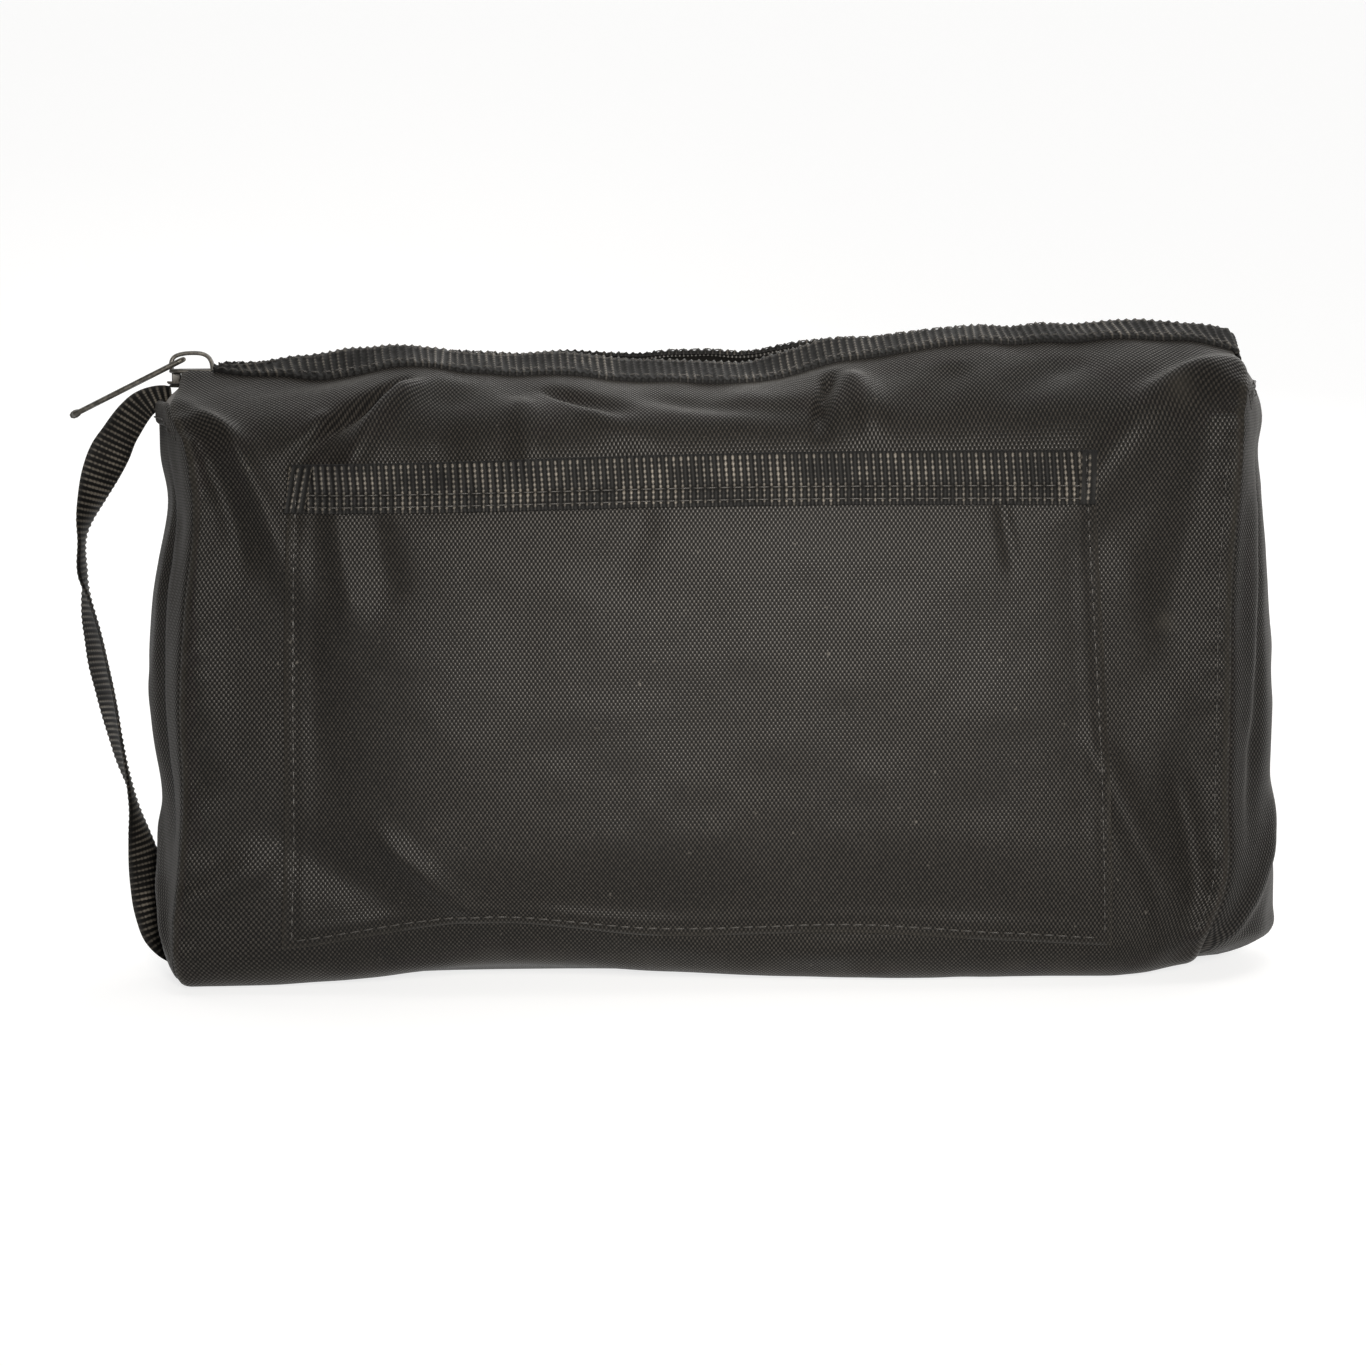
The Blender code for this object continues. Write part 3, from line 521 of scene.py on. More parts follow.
class Nodes:
    """Short calls for a material's node tree."""

    def __init__(self, name):
        self.material = bpy.data.materials.new(name)
        self.material.use_nodes = True
        self.tree = self.material.node_tree
        self.shader = self.tree.nodes["Principled BSDF"]

    def feed(self, socket, value):
        if isinstance(value, bpy.types.NodeSocket):
            self.tree.links.new(value, socket)
        else:
            socket.default_value = value

    def math(self, operation, a, b=0.0, c=0.0):
        node = self.tree.nodes.new("ShaderNodeMath")
        node.operation = operation
        for socket, value in zip(node.inputs, (a, b, c)):
            self.feed(socket, value)
        return node.outputs[0]

    def range(self, value, low, high, to_low=0.0, to_high=1.0):
        node = self.tree.nodes.new("ShaderNodeMapRange")
        node.interpolation_type = "SMOOTHSTEP"
        for socket, amount in zip(node.inputs, (value, low, high, to_low, to_high)):
            self.feed(socket, amount)
        return node.outputs[0]

    def wave(self, angle):
        """0 to 1 as the angle turns."""
        return self.math("MULTIPLY_ADD", self.math("SINE", angle), 0.5, 0.5)

    def times(self, *factors):
        product = factors[0]
        for factor in factors[1:]:
            product = self.math("MULTIPLY", product, factor)
        return product

    def mix(self, share, a, b):
        node = self.tree.nodes.new("ShaderNodeMix")
        node.data_type = "RGBA"
        self.feed(node.inputs[0], share)
        self.feed(node.inputs[6], (*a, 1.0) if isinstance(a, tuple) else a)
        self.feed(node.inputs[7], (*b, 1.0) if isinstance(b, tuple) else b)
        return node.outputs[2]

    def attribute(self, name, output="Vector"):
        node = self.tree.nodes.new("ShaderNodeAttribute")
        node.attribute_name = name
        return node.outputs[output]

    def split(self, vector):
        node = self.tree.nodes.new("ShaderNodeSeparateXYZ")
        self.feed(node.inputs[0], vector)
        return node.outputs

    def noise(self, scale, detail=3.0, vector=None, roughness=0.55):
        node = self.tree.nodes.new("ShaderNodeTexNoise")
        node.inputs["Scale"].default_value = scale
        node.inputs["Detail"].default_value = detail
        node.inputs["Roughness"].default_value = roughness
        if vector is None:
            vector = self.tree.nodes.new("ShaderNodeTexCoord").outputs["Object"]
        self.feed(node.inputs["Vector"], vector)
        return node.outputs["Fac"]

    def bump(self, height, strength, distance):
        node = self.tree.nodes.new("ShaderNodeBump")
        node.inputs["Strength"].default_value = strength
        node.inputs["Distance"].default_value = distance
        self.feed(node.inputs["Height"], height)
        self.feed(self.shader.inputs["Normal"], node.outputs[0])

    def set(self, **values):
        for key, value in values.items():
            socket = self.shader.inputs[key.replace("_", " ")]
            if isinstance(value, tuple) and len(value) == 3:
                value = (*value, 1.0)
            self.feed(socket, value)
        return self.material


# Each material's darker and paler colour, and what wear, dust and rubbing add
# The cloth's paler colour is a painted highlight on the yarn crossings; its darker colour is the black gaps.
CLOTH_GAP_AND_GLINT_COLOURS = (0.0006, 0.0005, 0.0004), (0.0250, 0.0222, 0.0190)
CLOTH_WORN = (0.030, 0.027, 0.022)
CLOTH_SPECK = (0.10, 0.092, 0.08)
LINING_COLOURS = (0.010, 0.0095, 0.009), (0.020, 0.019, 0.0175)
# The webbing's paler colour falls on the rib crests, partly worn and partly a painted highlight.
WEBBING_COLOURS = (0.0008, 0.0007, 0.0006), (0.125, 0.112, 0.094)
TAPE_COLOURS = (0.010, 0.0075, 0.0058), (0.046, 0.036, 0.028)
COIL_COLOURS = (0.007, 0.0065, 0.006), (0.026, 0.024, 0.022)
METAL_COLOURS = (0.010, 0.0095, 0.008), (0.028, 0.026, 0.022)
METAL_RUB = (0.10, 0.092, 0.078)
THREAD_COLOURS = (0.006, 0.0055, 0.005), (0.032, 0.029, 0.025)
BINDING_COLOURS = (0.010, 0.010, 0.009), (0.060, 0.057, 0.052)
WARP_PITCH, WEFT_PITCH = 1.0, 1.43


def weave(nodes):
    """0 to 1 over a plain weave: high at the crossings and low in the gaps, staggered row by row; the cloth
    paints the crossings bright as a highlight on the yarn crowns.
    """
    u, v, _ = nodes.split(nodes.attribute("cloth"))
    u = nodes.math("ADD", u, nodes.times(nodes.noise(260.0, 2.0), 0.12))
    warp = nodes.math("SINE", nodes.times(u, 2 * math.pi / WARP_PITCH))
    weft = nodes.math("SINE", nodes.times(v, 2 * math.pi / WEFT_PITCH))
    return nodes.math("MULTIPLY_ADD", nodes.times(warp, weft), 0.5, 0.5)


def cloth_material():
    """Coarse black nylon: a bright dot at each crossing, a painted highlight on the yarn crowns, with worn,
    dusty and greyer patches.
    """
    nodes = Nodes("oxford_cloth")
    crossings_and_glints = weave(nodes)
    patches = nodes.noise(16.0, 4.0)
    fine = nodes.range(nodes.noise(1400.0, 1.0), 0.2, 0.8, 0.55, 1.25)
    # The weave's crossings are painted paler: a painted highlight on the yarn crowns.
    level = nodes.times(nodes.range(crossings_and_glints, 0.30, 0.98), fine, nodes.range(patches, 0.3, 0.7, 0.84, 1.12))
    colour = nodes.mix(level, *CLOTH_GAP_AND_GLINT_COLOURS)
    colour = nodes.mix(nodes.times(nodes.attribute("tone", "Fac"), 0.55), colour, CLOTH_WORN)
    specks = nodes.range(nodes.noise(420.0, 2.0), 0.73, 0.80, 0.0, 0.35)
    colour = nodes.mix(specks, colour, CLOTH_SPECK)
    nodes.bump(crossings_and_glints, 0.42, 0.00022)
    dull = nodes.range(crossings_and_glints, 0.30, 0.85, 0.76, 0.37)
    rough = nodes.math("ADD", nodes.range(patches, 0.3, 0.7, -0.04, 0.05), dull)
    return nodes.set(Base_Color=colour, Roughness=rough, Specular_IOR_Level=0.13,
                     Sheen_Weight=0.03, Sheen_Roughness=0.45, Sheen_Tint=(0.95, 0.92, 0.88))


def lining_material():
    """The cloth's coated inner face, smoother and duller, with the weave only just showing."""
    nodes = Nodes("cloth_coating")
    patches = nodes.noise(22.0, 4.0)
    nodes.bump(weave(nodes), 0.12, 0.0001)
    return nodes.set(Base_Color=nodes.mix(nodes.range(patches, 0.3, 0.7), *LINING_COLOURS),
                     Roughness=nodes.range(patches, 0.3, 0.7, 0.45, 0.62), Specular_IOR_Level=0.35)


def webbing_material():
    """Ribbed nylon webbing: pale crests, partly worn and partly a painted highlight, over near-black grooves.
    """
    nodes = Nodes("webbing")
    crest = nodes.attribute("tone", "Fac")
    fibre = nodes.noise(2600.0, 2.0)
    wear = nodes.range(nodes.noise(55.0, 3.0), 0.25, 0.75, 0.55, 1.1)
    # Pale on the crests: partly wear, partly a painted highlight.
    level = nodes.times(nodes.range(crest, 0.22, 0.80), wear, nodes.range(fibre, 0.25, 0.75, 0.65, 1.15))
    nodes.bump(fibre, 0.25, 0.00012)
    return nodes.set(Base_Color=nodes.mix(level, *WEBBING_COLOURS), Specular_IOR_Level=0.20,
                     Roughness=nodes.range(crest, 0.0, 1.0, 0.72, 0.46), Sheen_Weight=0.01)


def tape_material():
    """Fine twill of the zip's tape and end flaps, browner than the bag."""
    nodes = Nodes("zip_tape")
    u, v, _ = nodes.split(nodes.attribute("cloth"))
    twill = nodes.wave(nodes.math("ADD", nodes.times(u, 7.4), nodes.times(v, 9.5)))
    fuzz = nodes.noise(900.0, 3.0)
    level = nodes.times(twill, nodes.range(fuzz, 0.2, 0.8, 0.5, 1.2))
    nodes.bump(nodes.math("ADD", twill, fuzz), 0.3, 0.00018)
    return nodes.set(Base_Color=nodes.mix(level, *TAPE_COLOURS),
                     Roughness=nodes.range(fuzz, 0.3, 0.7, 0.68, 0.85), Sheen_Weight=0.15)


def coil_material():
    """Extruded nylon of the coil, with a soft gloss rubbed brighter in places."""
    nodes = Nodes("zip_coil")
    rub = nodes.noise(180.0, 3.0)
    nodes.bump(nodes.noise(3000.0, 2.0), 0.1, 0.00005)
    return nodes.set(Base_Color=nodes.mix(nodes.range(rub, 0.35, 0.7), *COIL_COLOURS),
                     Roughness=nodes.range(rub, 0.3, 0.7, 0.30, 0.46))


def metal_material():
    """Gunmetal plating: dark, slightly mottled, with brighter rubs on the crests."""
    nodes = Nodes("zip_metal")
    mottle = nodes.noise(320.0, 4.0)
    scuffs = nodes.range(nodes.noise(900.0, 3.0), 0.35, 0.7, 0.2, 1.0)
    colour = nodes.mix(nodes.range(mottle, 0.3, 0.7), *METAL_COLOURS)
    colour = nodes.mix(nodes.times(nodes.attribute("tone", "Fac"), scuffs), colour, METAL_RUB)
    nodes.bump(nodes.noise(1500.0, 3.0), 0.12, 0.00006)
    return nodes.set(Base_Color=colour, Roughness=nodes.range(mottle, 0.3, 0.7, 0.30, 0.46),
                     Metallic=0.25, Specular_IOR_Level=0.3)


def thread_material():
    """Twisted black sewing thread."""
    nodes = Nodes("thread")
    u, _, w = nodes.split(nodes.attribute("cloth"))
    twist = nodes.wave(nodes.math("ADD", nodes.times(u, 16.0), nodes.times(w, 22.0)))
    nodes.bump(twist, 0.4, 0.0001)
    return nodes.set(Base_Color=nodes.mix(twist, *THREAD_COLOURS),
                     Roughness=nodes.range(twist, 0, 1, 0.6, 0.42))


def binding_material():
    """Matte ribbed tape over the inside seams."""
    nodes = Nodes("binding_tape")
    _, v, _ = nodes.split(nodes.attribute("cloth"))
    ribs = nodes.wave(nodes.times(v, 7.0))
    fuzz = nodes.noise(800.0, 3.0)
    nodes.bump(nodes.math("ADD", ribs, fuzz), 0.35, 0.0002)
    return nodes.set(Base_Color=nodes.mix(nodes.times(ribs, fuzz), *BINDING_COLOURS),
                     Roughness=nodes.range(fuzz, 0.3, 0.7, 0.75, 0.88), Sheen_Weight=0.2)


CLOTH = cloth_material()
LINING = lining_material()
WEBBING = webbing_material()
TAPE = tape_material()
COIL = coil_material()
METAL = metal_material()
THREAD = thread_material()
BINDING = binding_material()


# ---------------------------------------------------------- the lips' bend, worked out but not applied


def blend_with_lip(piece, side, split):
    """Bakes a piece's transform into its mesh; the slope of the bend from the bag to a lip, with a gradient
    along x past a split, is worked out but not applied.
    """
    run = Vector((0, side * (BLEND_END[0] - BLEND_START[0]), BLEND_END[1] - BLEND_START[1]))
    slope = run / run.length_squared
    if split:
        slope.x = -math.copysign(BLEND_TOP_SHARE / (SEAM_X - SPLIT_X), split)
    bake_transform(piece)


THIRDS = {
    "left": (-SEAM_X, -SPLIT_X, -SPLIT_X),
    "middle": (-SPLIT_X, SPLIT_X, 0),
    "right": (SPLIT_X, SEAM_X, SPLIT_X),
}


# -------------------------------------------------------------------- wrap


CLOTH_STEP = 1.15
BASE_ROWS = 22
# Scuffs on the front: x, height, size
SCUFFS = ((111.4, 139.0, 2.6), (109.0, 87.5, 2.2), (-70.0, 60.0, 1.2))


def wrap_columns(third, low, high):
    """Places along a third of the wrap, closer together where its edge rolls in."""
    x = np.linspace(low, high, int((high - low) / CLOTH_STEP) + 1)
    near = np.linspace(0, WRAP_ROLL, 7)
    clear = WRAP_ROLL + 0.2
    if third == "left":
        return np.concatenate([low + near, x[x > low + clear]])
    if third == "right":
        return np.concatenate([x[x < high - clear], high - near[::-1]])
    return x


def wrap_wear(side, x, s):
    """Paler wear beside the end seams, along the foot of the walls, and in a few scuffs."""
    z = s - WALL_FOOT_S + CORNER_RADIUS
    worn = smooth(SEAM_X - 2.2, SEAM_X - 0.6, np.abs(x)) * 0.5
    worn = worn + 0.5 * np.exp(-(((s - BASE_RUN - 7) / 5) ** 2)) * (0.5 + 0.5 * soft_noise(x, s, 6, 40))
    if side == FRONT:
        for scuff_x, scuff_z, size in SCUFFS:
            worn = worn + 0.5 * np.exp(-((x - scuff_x) ** 2 + (z - scuff_z) ** 2) / size**2)
    return np.clip(worn, 0, 1)


def make_wrap():
    """The front and back panels, each in one run from the middle of the base to the zip."""
    base = np.linspace(0, BASE_RUN, BASE_ROWS)[:-1]
    s = np.concatenate([base, np.arange(BASE_RUN, CLOTH_END_S + 0.1, CLOTH_STEP)])
    for side, word in SIDE_WORDS.items():
        for third, (low, high, split) in THIRDS.items():
            at_x, at_s = np.meshgrid(wrap_columns(third, low, high), s)
            outer = shell(side, at_x, at_s)
            inner = outer - shell_normal(side, at_x, at_s) * CLOTH_THICK
            piece = Piece()
            add_sheet(piece, outer, inner, laid_flat(at_x, at_s), wrap_wear(side, at_x, at_s), (0, 1, 0))
            made = piece.build(f"{word}_panel_{third}", [CLOTH, LINING])
            if third == "middle":
                nodes = [f"{word}_lip_panel", f"{word}_wall", "base_panel"]
            else:
                nodes = [f"{word}_{third}_shoulder", f"{word}_wall"]
            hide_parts(*nodes)
            blend_with_lip(made, side, split)


def wrap_edge(side, end, low_s, high_s):
    """The wrap's end edge between two places on its section: distances from the middle plane, and points."""
    s = np.linspace(low_s, high_s, 160)
    points = shell(side, np.full_like(s, end * SEAM_X), s)
    return points[:, 1] * side, points


def edge_value(end, y, low_s, high_s, axis):
    """A coordinate of the wrap's end edge at each distance from the middle plane."""
    found = np.zeros_like(y)
    for side in (FRONT, BACK):
        reach, points = wrap_edge(side, end, low_s, high_s)
        order = np.argsort(reach)
        mine = side * y >= 0
        found[mine] = np.interp(side * y[mine], reach[order], points[order, axis])
    return found


def gusset_span(end, y):
    """Lowest and highest point of a gusset at a distance from the middle plane."""
    low = edge_value(end, y, 0.0, WALL_FOOT_S, 2) + EDGE_GAP
    roof = edge_value(end, y, ROOF_EDGE_S, RIDGE_S, 2) - EDGE_GAP
    return low, np.minimum(roof, GUSSET_TOPS[end])


ROOF_EDGE_S = HINGE_S - 8
HEM_DEPTH = 5.6
HEM_LINE = 3.9
HEM_PROUD = {LEFT: 0.75, RIGHT: 0.45}
HEM_INSET = 8


def add_hem(piece, end, y, top):
    """A second fold of cloth over a gusset's top edge, standing proud of it, with its stitches."""
    hem_y, hem_top = y[HEM_INSET:-HEM_INSET], top[HEM_INSET:-HEM_INSET]
    depth = np.linspace(0, 1, 12)[:, None]
    z = hem_top - HEM_DEPTH * depth
    place = np.arange(len(hem_y))
    ends = np.clip(np.minimum(place, place[::-1]) / 4.0, 0, 1)
    proud = HEM_PROUD[end] * np.sqrt(np.clip(1 - (2 * depth - 1) ** 4, 0, 1)) * ends + 0.1
    hem_y = np.broadcast_to(hem_y, z.shape)
    outer = gusset(end, hem_y, z, proud + 0.12 * soft_noise(hem_y, z, 4.0, 51) * ends)
    inner = gusset(end, hem_y, z, 0.05)
    add_sheet(piece, outer, inner, laid_flat(hem_y, z), 0.35 * (1 - depth))
    line = gusset(end, y[10:-10], top[10:-10] - HEM_LINE, 0.95)
    add_stitches(piece, line, (end, 0.0, 0.0), slot=2)


def make_gussets():
    """The two end gussets, with a turned hem along the top edge."""
    for end, word in END_WORDS.items():
        y = np.linspace(-GUSSET_HALF, GUSSET_HALF, 84)
        low, high = gusset_span(end, y)
        share = np.linspace(0, 1, 122)[:, None] ** 1.15
        at_z = low + (high - low) * share
        at_y = np.broadcast_to(y, at_z.shape)
        outer = gusset(end, at_y, at_z)
        inner = gusset(end, at_y, at_z, -CLOTH_THICK)
        worn = smooth(HALF_DEPTH - 2.4, HALF_DEPTH - 0.8, np.abs(at_y)) * 0.5
        piece = Piece()
        add_sheet(piece, outer, inner, laid_flat(at_y, at_z), worn, (0, 1, 0))
        add_hem(piece, end, y, high)
        made = piece.build(f"gusset_{word}", [CLOTH, LINING, THREAD])
        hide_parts(f"{word}_gusset")
        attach(made, "bag")


FLAP_HALF = 38.0


def make_flaps():
    """The tape turned down at each end of the zip, between the roof and the gusset's hem."""
    for end, word in END_WORDS.items():
        y = np.linspace(-FLAP_HALF, FLAP_HALF, 80)
        share = np.linspace(0, 1, 14)[:, None]
        roof_z = edge_value(end, y, ROOF_EDGE_S, RIDGE_S, 2)
        roof_x = edge_value(end, y, ROOF_EDGE_S, RIDGE_S, 0)
        top = np.minimum(roof_z - 0.5, zip_height(end * 129.0) - 1.3)
        low = np.minimum(roof_z - 3.4, GUSSET_TOPS[end] - 3.5)
        at_z = low + (top - low) * share
        at_y = np.broadcast_to(y, at_z.shape)
        foot = gusset(end, y, low, -1.1)[..., 0]
        head = roof_x - end * 0.9
        bow = np.sin(math.pi * share) * 0.9 * smooth(FLAP_HALF, 30, np.abs(y))
        at_x = foot + (head - foot) * share**1.6 + end * bow
        at_x = at_x + end * 0.5 * soft_noise(y, at_z, 6.0, 61)
        outer = np.stack([at_x, at_y, at_z], -1)
        inner = outer - np.array([end * 0.5, 0, 0.1])
        piece = Piece()
        add_sheet(piece, outer, inner, laid_flat(at_y, at_z))
        made = piece.build(f"zip_flap_{word}", [TAPE])
        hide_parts(f"zip_{word}_flap")
        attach(made, "bag")


BINDING_HALF = 3.0
BINDING_LINE = 1.6


def make_bindings():
    """Ribbed tape folded over the raw seam edges inside each end."""
    width = np.linspace(-BINDING_HALF, BINDING_HALF, 9)[:, None]
    arch = 0.35 * np.sqrt(np.clip(1 - (width / BINDING_HALF) ** 2, 0, 1))
    s = np.linspace(4, HINGE_S - 4, 120)[None]
    run = np.concatenate([-s[:, ::-1], s], 1)

    def round_inside(path):
        """One run from the top of the front, under the base, to the top of the back."""
        return np.concatenate([path(FRONT)[:, ::-1], path(BACK)], 1)

    for end, word in END_WORDS.items():
        x = end * BINDING_X + width + 0.15 * np.sin(s * 0.9)
        middle = np.full_like(s, end * BINDING_X)
        outer = round_inside(lambda side: raised(side, x, s, -(CLOTH_THICK + 0.55 + arch)))
        inner = round_inside(lambda side: raised(side, x, s, -(CLOTH_THICK + 0.25)))
        piece = Piece()
        add_sheet(piece, outer, inner, laid_flat(width, run))
        line_x = np.full_like(s, end * (BINDING_X - BINDING_LINE))
        line = round_inside(lambda side: raised(side, line_x, s, -(CLOTH_THICK + 0.9)))
        inward = round_inside(lambda side: -shell_normal(side, middle, s))
        add_stitches(piece, line[0], inward[0], slot=1)
        made = piece.build(f"binding_{word}", [BINDING, THREAD])
        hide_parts(f"{word}_seam_binding")
        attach(made, "bag")


# ------------------------------------------------------------------ webbing


SELVEDGE = 0.8


def rib_height(phase, across, width, beads):
    """(height, crest tone) of ribbed webbing: narrow beaded ridges, low at both selvedges; the tone pales the
    crests, partly as a painted highlight.
    """
    bead = 0.5 + 0.5 * np.cos(2 * math.pi * across / beads)
    crest = (0.5 + 0.5 * np.cos(2 * math.pi * phase)) ** 1.6
    edge = np.clip(np.minimum(across, width - across) / SELVEDGE, 0, 1)
    rim = np.sqrt(1 - (1 - edge) ** 2)
    height = (0.10 + 0.62 * crest * (0.72 + 0.28 * bead)) * (0.35 + 0.65 * rim)
    return height, crest * (0.40 + 0.60 * bead) * (0.5 + 0.5 * rim)


def webbing_grid(low, high, width, pitch, lean, beads, rows, columns_per_rib=6):
    """(place, across, height, tone) over a strip of webbing, its columns on the ribs' own lines."""
    ribs = max(1, round((high - low) / pitch))
    phase = np.arange(ribs * columns_per_rib + 1) / columns_per_rib
    phase, across = np.broadcast_arrays(phase, np.linspace(0, width, rows)[:, None])
    fade = np.clip(np.minimum(phase, ribs - phase) / 3.0, 0, 1)
    place = low + (high - low) * phase / ribs + lean(across / width) * fade
    return place, across, *rib_height(phase, across, width, beads)


# The trims' ends along the bag, how they narrow into the left corner, and where they turn down
TRIM_SPANS = {"left": (-117.5, -SPLIT_X), "middle": (-SPLIT_X, SPLIT_X), "right": (SPLIT_X, 129.4)}
TRIM_TAPER = [(-118, 0.22), (-110, 0.5), (-98, 0.92), (-88, 1.0), (130, 1.0)]
TRIM_TURN_X = 122.8
TRIM_TURN_RADIUS = 2.4
TRIM_RUN = RIDGE_S - TRIM_OUTER_S
TRIM_LEAN = 0.9
TRIM_END_LEAN = 0.6


def trim_points(side, x, s, lift):
    """Points on a trim, which tapers into the left corner and turns down over the roof's right end."""
    s = RIDGE_S - (RIDGE_S - s) * through(TRIM_TAPER, x)
    held = np.minimum(x, TRIM_TURN_X)
    place = shell(side, held, s)
    out = shell_normal(side, held, s) * np.asarray(lift)[..., None]
    past = np.maximum(x - TRIM_TURN_X, 0.0)
    turn = np.minimum(past / TRIM_TURN_RADIUS, math.pi / 2)
    arm = out[..., 2] + TRIM_TURN_RADIUS
    over = out[..., 0] * np.cos(turn) + arm * np.sin(turn)
    rise = arm * np.cos(turn) - out[..., 0] * np.sin(turn) - TRIM_TURN_RADIUS
    drop = np.maximum(past - TRIM_TURN_RADIUS * math.pi / 2, 0.0)
    return place + np.stack([over, out[..., 1], rise - drop], -1)


def make_trims():
    """Webbing along both edges of the mouth, with the thread that holds it down."""
    for side, word in SIDE_WORDS.items():
        for third, (low, high) in TRIM_SPANS.items():

            def lean(share):
                more = 0.0 if third == "middle" else TRIM_END_LEAN
                return TRIM_LEAN * (share - 0.5) + more * share * share

            place, across, height, tone = webbing_grid(low, high, TRIM_RUN, 1.8, lean, 1.25, 30)
            s = RIDGE_S - across - 0.35 * (tone * (across > TRIM_RUN - 1.2) - tone * (across < 1.2))
            fray = 0.10 * soft_noise(place, across, 1.3, 71)
            outer = trim_points(side, place, s, 0.75 + height + fray)
            inner = trim_points(side, place, s, 0.12)
            shade = tone * (0.65 + 0.35 * soft_noise(place, across, 5.0, 73))
            piece = Piece()
            add_sheet(piece, outer, inner, laid_flat(place, across), shade)
            x = np.linspace(low + 0.5, high - 0.5, 300)
            for offset in (1.9, TRIM_RUN - 2.2):
                s_line = np.full_like(x, RIDGE_S - offset)
                line = trim_points(side, x, s_line, 1.12)
                add_stitches(piece, line, shell_normal(side, x, s_line), 2.2, 3.0, 0.17, slot=1)
            made = piece.build(f"{word}_zip_trim_{third}", [WEBBING, THREAD], sharp=75.0)
            node = f"{word}_trim" if third == "middle" else f"{word}_trim_{third}_end"
            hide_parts(node)
            blend_with_lip(made, side, THIRDS[third][2])


def zip_line(x):
    """Height of the real zip, which follows the sway of the mouth's edge between its ends."""
    calm = smooth(-126, -104, x) * (1 - smooth(94, 111, x))
    return zip_height(x) + 0.8 * through(ZIP_SWAY, x) * calm


TAPE_SPANS = {"left": (-132.6, -SPLIT_X), "middle": (-SPLIT_X, SPLIT_X), "right": (SPLIT_X, 128.8)}
TAPE_INNER, TAPE_OUTER = 0.75, 9.5
TAPE_THICK = 0.45


def make_tapes():
    """The woven tape on each side of the zip."""
    for side, word in SIDE_WORDS.items():
        for third, (low, high) in TAPE_SPANS.items():
            x = np.linspace(low, high, int((high - low) / 1.2) + 1)
            at_x, at_y = np.broadcast_arrays(x, np.linspace(TAPE_INNER, TAPE_OUTER, 11)[:, None])
            sag = -1.0 + 0.44 * smooth(5.0, TAPE_OUTER, at_y)
            sag = sag + 0.12 * np.sin(at_x * 0.5) * (at_y / TAPE_OUTER)
            inset = 1.1 * smooth(-126.0, -130.0, at_x)
            outer = np.stack([at_x, side * (at_y + inset), zip_line(at_x) + sag], -1)
            inner = outer - np.array([0, 0, TAPE_THICK])
            piece = Piece()
            add_sheet(piece, outer, inner, laid_flat(at_x, at_y))
            made = piece.build(f"{word}_tape_{third}", [TAPE])
            node = f"{word}_zip_tape" if third == "middle" else f"{word}_tape_{third}_end"
            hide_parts(node)
            blend_with_lip(made, side, THIRDS[third][2])


COIL_SPANS = {"left": (-129.8, -SPLIT_X), "middle": (-SPLIT_X, SPLIT_X), "right": (SPLIT_X, 121.6)}
COIL_PITCH = 1.3
COIL_POINTS = 12
COIL_MIDDLE_Y, COIL_REACH_Y, COIL_REACH_Z = 1.45, 1.35, 0.52
COIL_WIRE = 0.30


def make_coils():
    """Nylon coil on each side: a flattened helix whose turns mesh with the other side's."""
    for side, word in SIDE_WORDS.items():
        for third, (low, high) in COIL_SPANS.items():
            t = np.arange(0, (high - low) / COIL_PITCH, 1 / COIL_POINTS)
            angle = 2 * math.pi * t
            x = low + t * COIL_PITCH + (0.0 if side == FRONT else COIL_PITCH / 2)
            x = np.minimum(x, high)
            out = np.sign(np.cos(angle)) * np.abs(np.cos(angle)) ** 0.7
            y = side * (COIL_MIDDLE_Y + COIL_REACH_Y * out)
            z = zip_line(x) + 0.12 + COIL_REACH_Z * np.sin(angle)
            piece = Piece()
            add_tube(piece, np.stack([x, y, z], -1), COIL_WIRE)
            # the chain of thread that sews the coil to its tape
            along = np.linspace(low, high, 260)
            for offset in (2.15, 2.75):
                line = np.stack([along, np.full_like(along, side * offset), zip_line(along) + 0.62], -1)
                add_stitches(piece, line, UPWARD, 1.0, COIL_PITCH, 0.13, slot=1)
            made = piece.build(f"{word}_coil_{third}", [COIL, THREAD])
            node = f"{word}_zip_coil" if third == "middle" else f"{word}_coil_{third}_end"
            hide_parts(node)
            blend_with_lip(made, side, THIRDS[third][2])


# ------------------------------------------------------------------- pocket


POCKET_FOLDS = [
    ((-90, 118), (-86, 90), (3.2, 4.6), 1.8, 1.4),
    ((-80, 116), (-76, 96), (3.0, 5.0), -1.2, 1.0),
    ((-16, 118), (-24, 98), (5.0, 8.0), -1.3, 1.0),
    ((69, 118), (72, 101), (1.6, 2.4), -1.1, 1.0),
    ((-98, 90), (-90, 30), (5.0, 7.0), -0.9, 1.0),
]
POCKET_SWELL = 5.4
POCKET_LIFT = 0.75
# X of the pocket's sides by height, and the height of its foot by X
POCKET_LEFT_SIDE = [(12, -102.8), (60, -102.0), (100, -101.6), (126, -101.0)]
POCKET_RIGHT_SIDE = [(12, 96.0), (60, 94.6), (100, 92.6), (126, 91.2)]
POCKET_FOOT = [(-104, 10.4), (-66, 13.8), (-15, 11.6), (34, 13.6), (70, 11.2), (98, 9.4)]
SEWN_INSET = 2.0


